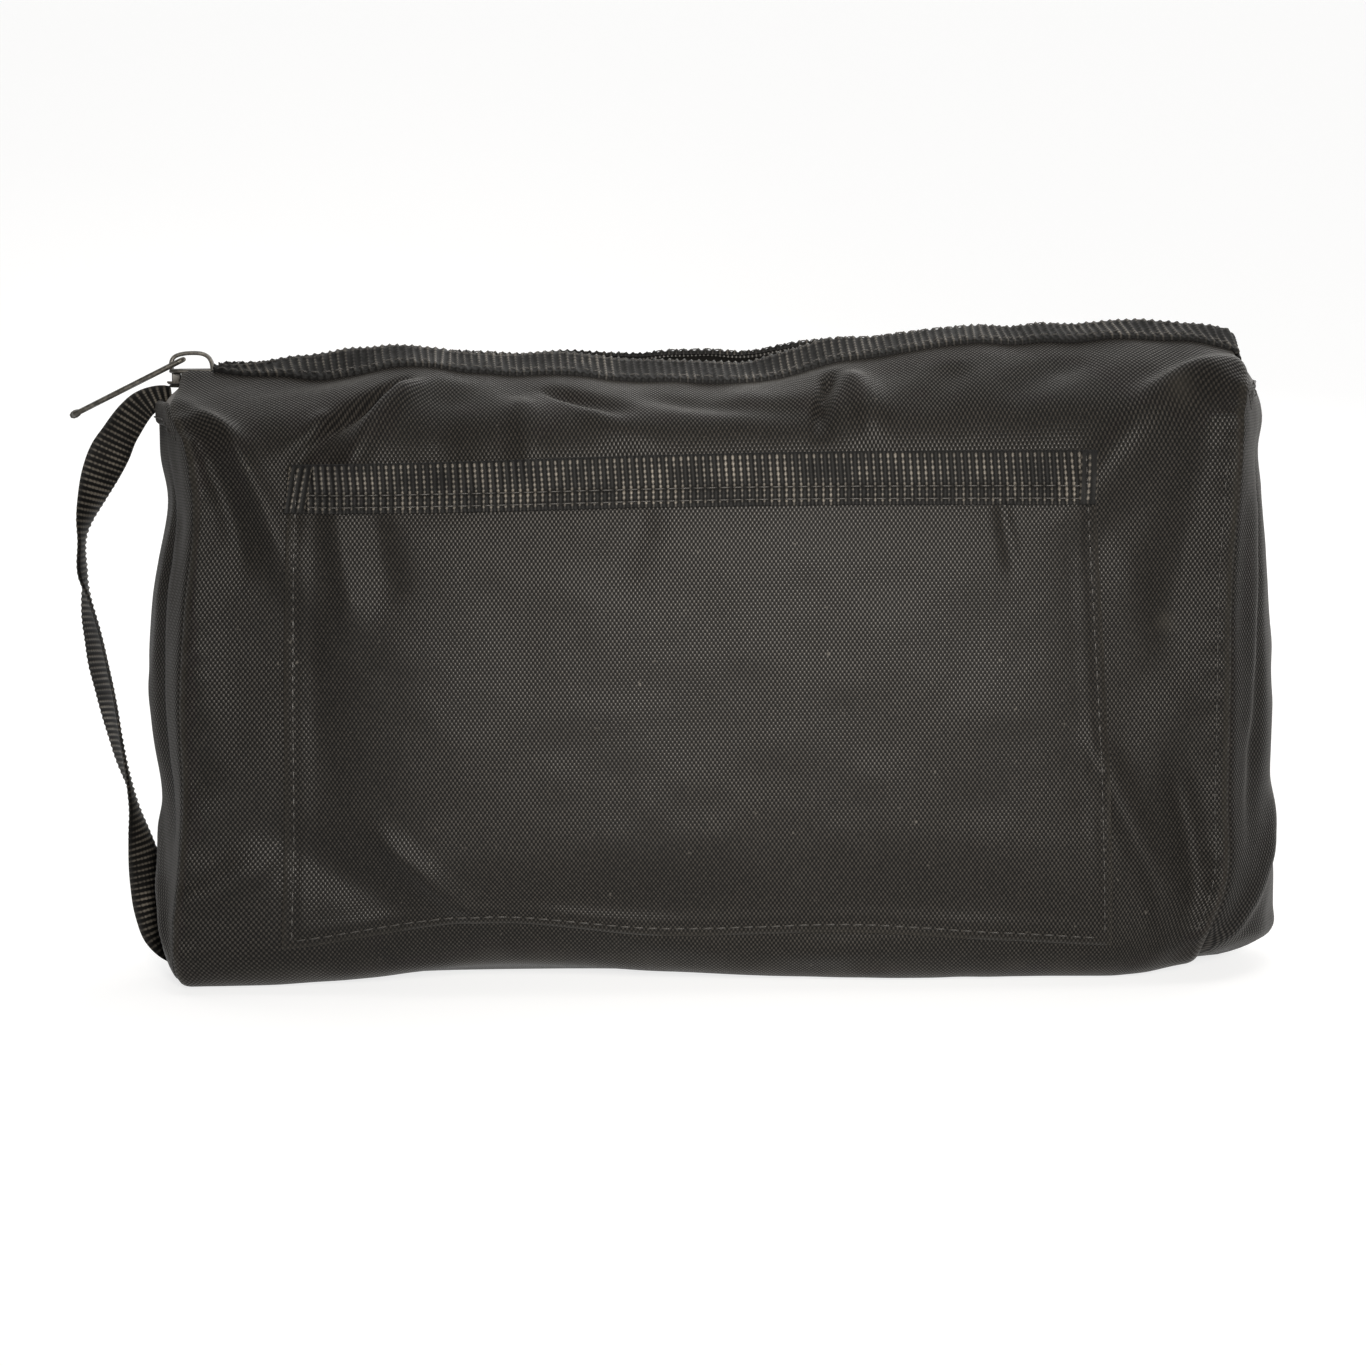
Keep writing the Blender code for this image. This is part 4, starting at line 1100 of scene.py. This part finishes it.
def pocket_swell(x, z):
    """How far the pocket stands off the wall, with its own folds."""
    middle = (POCKET_LEFT + POCKET_RIGHT) / 2
    half = (POCKET_RIGHT - POCKET_LEFT) / 2
    across = 1 - np.clip(np.abs(x - middle) / half, 0, 1) ** 3.4
    rise = np.sin(math.pi / 2 * np.clip((z - POCKET_BOTTOM) / 70.0, 0, 1))
    edge = smooth(0, 5, x - POCKET_LEFT) * smooth(0, 5, POCKET_RIGHT - x) * smooth(0, 5, z - POCKET_BOTTOM)
    folds = sum(crease(x, z, *fold) for fold in POCKET_FOLDS)
    return POCKET_SWELL * across * rise + folds * edge


def pocket_place(x, z, lift):
    """Points on the pocket's face, held off the wall's own surface."""
    wall = shell(FRONT, x, z - CORNER_RADIUS + WALL_FOOT_S)
    wall[..., 1] -= pocket_swell(x, z) + POCKET_LIFT + lift
    return wall


def make_pocket():
    """The pocket's panel, the stitching on three sides, and its turned edges."""
    rows = np.linspace(0, 1, 104)[:, None]
    share = np.linspace(0, 1, 178)[None]
    z_plain = POCKET_BOTTOM + (POCKET_TOP - POCKET_BOTTOM) * rows
    left, right = through(POCKET_LEFT_SIDE, z_plain), through(POCKET_RIGHT_SIDE, z_plain)
    at_x = left + (right - left) * share
    foot = through(POCKET_FOOT, at_x)
    at_z = foot + (POCKET_TOP - foot) * rows
    inset = np.minimum(np.minimum(at_x - left, right - at_x), at_z - foot)
    # the turned edge is two layers thick, and dips where it is sewn down
    layer = 0.55 * np.sqrt(np.clip(1 - (1 - np.clip(inset / 0.8, 0, 1)) ** 2, 0, 1))
    layer = layer - 0.45 * np.exp(-(((inset - SEWN_INSET) / 0.55) ** 2)) - 0.35 * smooth(5.0, 6.2, inset)
    outer = pocket_place(at_x, at_z, layer)
    inner = pocket_place(at_x, at_z, -0.45)
    cloth = laid_flat(at_x + 0.3, at_z + WALL_FOOT_S + 0.2)
    worn = 0.45 * np.exp(-((inset / 0.8) ** 2))
    piece = Piece()
    add_sheet(piece, outer, inner, cloth, worn, (0, 1, 0))
    t = np.linspace(0, 1, 260)
    z_line = 12.5 + (POCKET_TOP - 14.0) * t
    x_line = -100.5 + 194.0 * t
    lines = [
        (through(POCKET_LEFT_SIDE, z_line) + SEWN_INSET, z_line),
        (through(POCKET_RIGHT_SIDE, z_line) - SEWN_INSET, z_line),
        (x_line, through(POCKET_FOOT, x_line) + SEWN_INSET),
    ]
    for x, z in lines:
        add_stitches(piece, pocket_place(x, z, 0.18), FORWARD, slot=2)
    made = piece.build("pocket_cloth", [CLOTH, LINING, THREAD])
    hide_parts("pocket_panel")
    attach(made, "bag")


BAND_SLANT = 2.6
# Rows of stitches along the band: height up the band, and lift
BAND_LINES = ((4.4, 1.35), (1.5, 1.45))
# The band's ends, turned under: left, right, how proud each stands, and how it slants
BAND_ENDS = ((BAND_LEFT, BAND_LEFT + 5.4, 0.55, 2.2), (BAND_RIGHT - 3.8, BAND_RIGHT + 0.4, 0.95, 0.8))


def band_wave(x):
    """The band's slow rise and fall along the pocket."""
    return 0.5 * np.sin((x + 40) / 34.0)


def groove(across, middle, half):
    """A narrow dip where a row of stitches pulls the webbing in."""
    return np.exp(-(((across - middle) / half) ** 2))


def make_pocket_band():
    """The webbing over the pocket's top edge, its ends folded under, and its two rows of stitches."""
    piece = Piece()
    width = WEBBING_WIDTH
    place, across, height, tone = webbing_grid(
        BAND_LEFT, BAND_RIGHT, width, 1.75, lambda share: -0.8 * np.clip(share - 0.36, 0, 1) ** 1.2, 1.23, 34)
    slant = (0.5 - across / width) * BAND_SLANT * (1 - smooth(BAND_LEFT, BAND_LEFT + 7, place))
    at_x = place - slant * 0.6 * (across / width)
    at_z = BAND_BOTTOM + across + 0.15 * (tone * (across > width - 1) - tone * (across < 1)) + band_wave(at_x)
    height = height - 0.45 * groove(across, 4.4, 0.4) - 0.3 * groove(across, 1.5, 0.3)
    fray = 0.09 * soft_noise(at_x, across, 1.2, 81)
    outer = pocket_place(at_x, at_z, 1.0 + height + fray)
    inner = pocket_place(at_x, at_z, 0.6)
    shade = tone * (0.75 + 0.25 * soft_noise(at_x, across, 4.0, 83))
    add_sheet(piece, outer, inner, laid_flat(at_x, across), shade)
    for low, high, proud, slant in BAND_ENDS:
        place, across, height, tone = webbing_grid(
            low, high, width - 0.2, 2.1, lambda share: 0.5 * (share - 0.5), 1.5, 26, 8)
        side = np.clip(np.minimum(place - low, high - place) / 0.7, 0, 1)
        cap = np.sqrt(1 - (1 - side) ** 2)
        at_z = BAND_BOTTOM + 0.1 + across + band_wave(place)
        at_x = place - (0.5 - across / width) * slant
        outer = pocket_place(at_x, at_z, 1.2 + proud * cap + 0.7 * height)
        inner = pocket_place(at_x, at_z, 0.9)
        add_sheet(piece, outer, inner, laid_flat(at_x, across), tone * 0.7)
    x = np.linspace(BAND_LEFT + 1, BAND_RIGHT - 0.6, 420)
    for up, lift in BAND_LINES:
        line = pocket_place(x, BAND_BOTTOM + up + band_wave(x), lift)
        add_stitches(piece, line, FORWARD, 2.4, 3.1, 0.17, slot=1)
    z = BAND_BOTTOM + np.linspace(0.8, width - 0.8, 80)
    for x_edge in (BAND_LEFT + 2.0, BAND_RIGHT - 2.2):
        line = pocket_place(np.full_like(z, x_edge), z, 2.2)
        add_stitches(piece, line, FORWARD, 2.0, 2.8, 0.16, slot=1)
    made = piece.build("pocket_webbing", [WEBBING, THREAD], sharp=75.0)
    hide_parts("pocket_band")
    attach(made, "bag")


SEAM_LINE_INSET = 3.4


def make_seam_stitches():
    """Rows of stitches that show beside the end seams."""
    piece = Piece()
    s = np.linspace(WALL_FOOT_S - 2, HINGE_S - 6, 300)
    for side, end in ((FRONT, RIGHT), (BACK, LEFT), (BACK, RIGHT)):
        x = np.full_like(s, end * (SEAM_X - SEAM_LINE_INSET))
        add_stitches(piece, raised(side, x, s, 0.05), shell_normal(side, x, s), 2.3, 3.6, 0.16)
    made = piece.build("seam_stitches", [THREAD])
    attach(made, "bag")


# --------------------------------------------------------------------- loop


# The loop's middle line from its top root to its foot: x, z, and how far it is turned to the front
STRAP_TOP = [(-132.6, 143.4, 0.74), (-134.6, 143.3, 0.78), (-137.2, 142.6, 0.80), (-139.8, 141.2, 0.80),
             (-142.2, 138.8, 0.78), (-144.0, 136.4, 0.77)]
STRAP_LOOP = [(-145.6, 134.0, 0.76), (-147.9, 130.0, 0.82), (-150.4, 124.8, 0.72), (-152.9, 118.8, 0.48),
              (-155.0, 112.8, 0.20), (-155.9, 108.8, 0.0), (-155.9, 98.8, 0.0), (-155.3, 94.0, -0.22),
              (-154.5, 88.8, -0.38), (-153.4, 82.8, -0.46), (-152.4, 76.8, -0.50), (-151.1, 70.8, -0.48),
              (-149.9, 64.8, -0.44), (-148.7, 58.8, -0.36), (-147.4, 52.8, -0.28), (-145.9, 46.8, -0.14),
              (-144.5, 40.8, 0.04), (-143.4, 34.8, 0.30), (-142.3, 28.8, 0.52), (-141.5, 22.6, 0.62)]
STRAP_FOOT = [(-140.5, 14.6, 0.60), (-138.9, 8.8, 0.50), (-136.2, 4.8, 0.30), (-133.0, 2.4, 0.10)]


STRAP_WIDTHS = [(0, 6.4), (4, 7.6), (12, 10.0), (24, 11.8), (60, 12.0), (120, 12.0)]
STRAP_FOOT_WIDTH = 11.6
STRAP_RIB = 1.42
STRAP_BEADS = 0.105


def make_strap():
    """The side loop: one twisted run of webbing, cut in two halfway."""
    route = np.array(STRAP_TOP + STRAP_LOOP + STRAP_FOOT)
    run = np.concatenate([[0], np.cumsum(np.hypot(*np.diff(route[:, :2], axis=0).T))])
    total = run[-1]
    x_line, z_line, lean_line = (np.stack([run, route[:, k]], 1) for k in range(3))
    half = total * 0.5
    for word, low, high in (("upper", 0.0, half), ("lower", half, total)):
        along, across, _, wave = webbing_grid(low, high, 1.0, STRAP_RIB, lambda share: 0.0, STRAP_BEADS, 26)
        width = through(STRAP_WIDTHS + [(total, STRAP_FOOT_WIDTH)], along)
        level = np.zeros_like(along)
        centre = np.stack([through(x_line, along), level, through(z_line, along)], -1)
        ahead = np.stack([through(x_line, along + 0.5) - through(x_line, along - 0.5), level,
                          through(z_line, along + 0.5) - through(z_line, along - 0.5)], -1)
        ahead /= np.linalg.norm(ahead, axis=-1, keepdims=True) + 1e-9
        lean = np.clip(through(lean_line, along), -0.95, 0.95)[..., None]
        flat = np.stack([-ahead[..., 2], level, ahead[..., 0]], -1)
        side = flat * lean + np.array([0, 1.0, 0]) * np.sqrt(1 - lean**2)
        face = np.cross(ahead, side)
        bow = 0.9 * (1 - (2 * across - 1) ** 2) * smooth(6, 30, along)
        spot = centre + side * ((across - 0.5) * width)[..., None]
        edge = np.clip(np.minimum(across, 1 - across) * width / SELVEDGE, 0, 1)
        rim = np.sqrt(1 - (1 - edge) ** 2)
        height = 0.34 * rim + 0.42 * wave * rim
        worn = 0.80 + 0.30 * soft_noise(along, across * WEBBING_WIDTH, 4.0, 91)
        # The crests' tone, partly a painted highlight, raised over the whole strap.
        shade = np.clip(0.10 + 1.25 * wave * worn, 0, 1)
        outer = spot + face * (height + bow)[..., None]
        inner = spot + face * (bow - height)[..., None]
        piece = Piece()
        add_sheet(piece, outer, inner, laid_flat(along, across * WEBBING_WIDTH), shade)
        made = piece.build(f"strap_{word}", [WEBBING], sharp=80.0)
        if word == "upper":
            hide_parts("strap_top_end", "strap_loop")
            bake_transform(made)
        else:
            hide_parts("strap_bottom_end", "strap_loop")
            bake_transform(made)


# ------------------------------------------------------------------- slider


def add_plate(piece, outline, low, high, round_by, tone):
    """A flat plate between two heights, from its outline, with rounded edges."""
    centre = outline.mean(0)
    direction = outline - centre
    reach = np.linalg.norm(direction, axis=1, keepdims=True)
    rings = []
    for share in (0.0, 0.25, 0.55, 1.0):
        angle = share * math.pi / 2
        shrink = round_by * (1 - math.sin(angle))
        rings.append((centre + direction * (1 - shrink / reach), low + round_by * (1 - math.cos(angle))))
    rings += [(ring, high - (z - low)) for ring, z in rings[::-1]]
    points = np.stack([np.column_stack([ring, np.full(len(ring), z)]) for ring, z in rings])
    add_rings(piece, points, 0, tone)


def rounded_outline(corners, radius, steps=5):
    """A closed outline with each corner turned through a small arc."""
    corners = [np.array(c, float) for c in corners]
    out = []
    for i, corner in enumerate(corners):
        before, after = corners[i - 1], corners[(i + 1) % len(corners)]
        a = (before - corner) / np.linalg.norm(before - corner)
        b = (after - corner) / np.linalg.norm(after - corner)
        for t in np.linspace(0, 1, steps):
            out.append(corner + a * radius * (1 - t) ** 2 + b * radius * t**2)
    return np.array(out)


def rounded_rod(sides, x, z, half_width, half_height):
    """Rings of points along a line in the bag's middle plane, each a rounded rectangle."""
    turn = np.arange(sides) * 2 * math.pi / sides
    last = len(x) - 1
    rings = []
    for i in range(len(x)):
        after, before = min(i + 1, last), max(i - 1, 0)
        ahead = np.array([x[after] - x[before], z[after] - z[before]])
        ahead /= np.linalg.norm(ahead)
        across = np.sign(np.cos(turn)) * np.abs(np.cos(turn)) ** 0.6 * half_width[i]
        lift = np.sign(np.sin(turn)) * np.abs(np.sin(turn)) ** 0.6 * half_height
        rings.append(np.stack([x[i] - ahead[1] * lift, across, z[i] + ahead[0] * lift], 1))
    return np.array(rings)


# The slider, measured from its left tip and from the middle of the zip
SLIDER_LEFT = ZIP_LEFT_X - 5.6
SLIDER_TOP = ZIP_LEFT_Z + 1.1
SLIDER_LOW = ZIP_LEFT_Z - 1.65
SHIELD = [(0, -2.6), (1.6, -4.6), (5.0, -4.5), (11.2, -3.5), (11.2, 3.5), (5.0, 4.5), (1.6, 4.6), (0, 2.6)]
POST = [(0.5, -0.9), (2.7, -0.4), (2.7, 0.4), (0.5, 0.9)]
RAIL = [(3.2, 4.5), (11.0, 3.5), (11.0, 2.95), (3.2, 3.9)]
# The arch that holds the pull: its line (x, z), and its half width along it
ARCH = [(-5.1, -0.1), (-5.25, 1.5), (-4.7, 2.8), (-3.4, 3.55), (-1.0, 3.95), (2.0, 3.85), (3.8, 3.1),
        (4.7, 1.7), (5.0, -0.1)]
ARCH_WIDTHS = [(0, 1.5), (1.2, 1.15), (4, 1.05), (6.6, 1.15), (8, 1.55)]
ARCH_HALF_THICK = 0.52


def at_slider(corners, side=1):
    """Corners measured from the slider's left tip, as places along and across the bag."""
    return [(SLIDER_LEFT + x, side * y) for x, y in corners]


def make_slider():
    """Cast slider: two shield-shaped plates with turned-in flanges, a post, and the arch for the pull."""
    piece = Piece()
    outline = rounded_outline(at_slider(SHIELD), 0.8)
    add_plate(piece, outline, SLIDER_TOP, SLIDER_TOP + 0.85, 0.3, 0.35)
    add_plate(piece, outline, SLIDER_LOW - 0.8, SLIDER_LOW, 0.3, 0.2)
    add_plate(piece, rounded_outline(at_slider(POST), 0.3), SLIDER_LOW - 0.1, SLIDER_TOP + 0.1, 0.05, 0.1)
    for side in (FRONT, BACK):
        rail = rounded_outline(at_slider(RAIL, side), 0.2, 3)
        add_plate(piece, rail, SLIDER_LOW - 0.3, SLIDER_LOW + 0.7, 0.08, 0.1)
        add_plate(piece, rail, SLIDER_TOP - 0.6, SLIDER_TOP + 0.3, 0.08, 0.1)
    made = piece.build("slider_cast", [METAL], sharp=40)
    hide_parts("slider_body")
    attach(made, "slider")

    piece = Piece()
    run = np.linspace(0, len(ARCH) - 1, 40)
    x, z = (through([(i, point[k]) for i, point in enumerate(ARCH)], run) for k in range(2))
    rings = rounded_rod(12, ZIP_LEFT_X + x, SLIDER_TOP + 0.8 + z, through(ARCH_WIDTHS, run), ARCH_HALF_THICK)
    add_rings(piece, rings, 0, 0.55)
    made = piece.build("slider_arch", [METAL], sharp=40)
    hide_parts("slider_bridge")
    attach(made, "slider")


PULL_PIVOT = np.array([-130.35, 0.0, 151.85])
PULL_DROOP = math.radians(26.0)
# The pull's outline (along, half width), its window's far end, and the bead at its tip (along, radius)
PULL_EDGE = [(-0.65, 2.3), (0.1, 3.05), (8, 3.1), (20, 2.95), (27.6, 2.75), (29.2, 1.9), (29.7, 0.0)]
PULL_WEB = (11.0, 29.0)
PULL_BEAD = [(27.6, 0.5), (28.2, 0.85), (29.0, 1.02), (29.9, 0.9), (30.5, 0.45)]
PULL_NOSE_HALF = 2.45


def on_pull(along, across, lift=0.0):
    """Points on the drooping pull, by how far along, across and above its middle they lie."""
    ahead = np.array([-math.cos(PULL_DROOP), 0, -math.sin(PULL_DROOP)])
    up = np.array([-math.sin(PULL_DROOP), 0, math.cos(PULL_DROOP)])
    along, across, lift = (np.asarray(part, float)[..., None] for part in (along, across, lift))
    return PULL_PIVOT + ahead * along + np.array([0, 1.0, 0]) * across + up * lift


def make_puller():
    """The long flat pull: an eye on the arch, a slotted bar with raised edges, and a beaded tip."""
    piece = Piece()
    steps = np.linspace(0, len(PULL_EDGE) - 1, 36)
    along, half = (through([(i, point[k]) for i, point in enumerate(PULL_EDGE)], steps) for k in range(2))
    for side in (FRONT, BACK):
        # each long side is a rounded rail, and the two meet at the tip
        add_tube(piece, on_pull(along, side * (half - 0.62)), 0.64, 8, 0, 0.7)
    nose = np.linspace(-PULL_NOSE_HALF, PULL_NOSE_HALF, 13)
    add_tube(piece, on_pull(-0.25 * (1 - (nose / PULL_NOSE_HALF) ** 2), nose), 0.60, 8, 0, 0.8)
    # the solid web beyond the window
    web = np.linspace(*PULL_WEB, 26)
    share = np.linspace(-1, 1, 7)[:, None]
    web_y = (np.interp(web, along, half) - 0.7) * share
    thick = 0.40 + 0.08 * np.cos(math.pi * share)
    add_sheet(piece, on_pull(web, web_y, thick), on_pull(web, web_y, -thick), laid_flat(web, web_y), 0.25)
    bead = np.array(PULL_BEAD)
    add_tube(piece, on_pull(bead[:, 0], 0.0), bead[:, 1], 12, 0, 0.8)
    made = piece.build("zip_pull", [METAL], sharp=45)
    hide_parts("puller")
    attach(made, "puller")


STOP_LEFT, STOP_RIGHT, STOP_HALF = 122.6, 124.2, 2.4


def make_zip_stop():
    """The metal stop clenched over both coils at the right end."""
    piece = Piece()
    outline = rounded_outline([(STOP_LEFT, -STOP_HALF), (STOP_RIGHT, -STOP_HALF), (STOP_RIGHT, STOP_HALF),
                               (STOP_LEFT, STOP_HALF)], 0.4)
    low = zip_height((STOP_LEFT + STOP_RIGHT) / 2) - 0.6
    add_plate(piece, outline, low, low + 1.5, 0.4, 0.5)
    made = piece.build("zip_stop", [METAL], sharp=40)
    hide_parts("zip_bottom_stop")
    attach(made, "bag")


# -------------------------------------------------------------------- stage


FLOOR_NEAR, FLOOR_FAR, FLOOR_HALF = -2.5, 1.6, 3.5
SWEEP_RADIUS, SWEEP_TOP = 0.9, 3.5
FLOOR_DROP = 0.0002


def make_stage():
    """A pale floor that curves up into a backdrop."""
    reach = np.linspace(FLOOR_NEAR, FLOOR_FAR, 30)
    turn = np.linspace(0, math.pi / 2, 16)[1:]
    y = np.concatenate([reach, FLOOR_FAR + SWEEP_RADIUS * np.sin(turn), [FLOOR_FAR + SWEEP_RADIUS]])
    z = np.concatenate([np.zeros_like(reach), SWEEP_RADIUS * (1 - np.cos(turn)), [SWEEP_TOP]])
    x = np.linspace(-FLOOR_HALF, FLOOR_HALF, 12)
    points = [(a, b, c - FLOOR_DROP) for b, c in zip(y, z) for a in x]
    mesh = bpy.data.meshes.new("floor")
    mesh.from_pydata(points, [], grid_quads(len(y), len(x)).tolist())
    mesh.polygons.foreach_set("use_smooth", [True] * len(mesh.polygons))
    nodes = Nodes("backdrop_paper")
    nodes.set(Base_Color=(0.34, 0.34, 0.337), Roughness=0.9, Specular_IOR_Level=0.1,
              Emission_Color=(1.0, 1.0, 1.0), Emission_Strength=0.76)
    mesh.materials.append(nodes.material)
    floor = bpy.data.objects.new("floor", mesh)
    bpy.context.scene.collection.objects.link(floor)


def place_light(data, place, target):
    """Stand a lamp at a place and aim it at a target."""
    light = bpy.data.objects.new(data.name, data)
    light.location = place
    light.rotation_mode = "QUATERNION"
    light.rotation_quaternion = (Vector(target) - Vector(place)).to_track_quat("-Z", "Y")
    bpy.context.scene.collection.objects.link(light)


def add_light(name, place, target, size, power):
    """A soft rectangular light aimed at a target."""
    data = bpy.data.lights.new(name, "AREA")
    data.shape = "RECTANGLE"
    data.size, data.size_y = size
    data.energy = power
    data.color = LIGHT_COLOUR
    place_light(data, place, target)


WHITE = (1.0, 1.0, 1.0, 1.0)
LIGHT_COLOUR = (1.0, 0.98, 0.95)
KEY_COLOUR = (1.0, 0.955, 0.89)
BAG_MIDDLE = (0.0, 0.0, 0.08)


def make_lights():
    """Soft studio light: a frontal key, light from above and behind, and a pale sweep."""
    world = bpy.data.worlds.new("studio")
    world.use_nodes = True
    sky = world.node_tree.nodes["Background"].inputs
    sky["Color"].default_value = WHITE
    sky["Strength"].default_value = 0.10
    bpy.context.scene.world = world
    bpy.context.scene.view_settings.view_transform = "Standard"
    key = bpy.data.lights.new("key", "SPOT")
    key.energy = 212.0
    key.color = KEY_COLOUR
    key.spot_size = math.radians(19.0)
    key.spot_blend = 1.0
    key.shadow_soft_size = 0.14
    place_light(key, (0.14, -1.30, 0.30), (0.01, -0.04, 0.080))
    add_light("top", (0.1, -0.1, 1.3), BAG_MIDDLE, (0.9, 0.7), 6.0)
    add_light("sweep", (0.0, 1.2, 1.9), (0.0, 0.8, 0.0), (3.0, 1.6), 18.0)
    add_light("rear", (0.6, 1.5, 0.8), BAG_MIDDLE, (1.4, 1.0), 9.0)


CAMERA_AIM = Vector((-0.0070, -0.043, 0.0745))
CAMERA_DISTANCE = 1.2
CAMERA_RISE = math.radians(5.5)
CAMERA_ROLL = math.radians(-0.7)
SENSOR_WIDTH = 36.0
VIEW_WIDTH = 0.328


def make_camera():
    """The camera, square to the pocket and a little above the bag's middle."""
    data = bpy.data.cameras.new("camera")
    camera = bpy.data.objects.new("camera", data)
    bpy.context.scene.collection.objects.link(camera)
    back = Vector((0, -math.cos(CAMERA_RISE), math.sin(CAMERA_RISE)))
    data.sensor_width = SENSOR_WIDTH
    data.lens = SENSOR_WIDTH * CAMERA_DISTANCE / VIEW_WIDTH
    data.clip_start = 0.01
    camera.location = CAMERA_AIM + back * CAMERA_DISTANCE
    camera.rotation_mode = "QUATERNION"
    camera.rotation_quaternion = (-back).to_track_quat("-Z", "Y") @ Quaternion((0, 0, 1), CAMERA_ROLL)
    bpy.context.scene.camera = camera


make_camera()
make_wrap()
make_gussets()
make_flaps()
make_bindings()
make_trims()
make_tapes()
make_coils()
make_pocket()
make_pocket_band()
make_seam_stitches()
make_strap()
make_slider()
make_puller()
make_zip_stop()
make_stage()
make_lights()
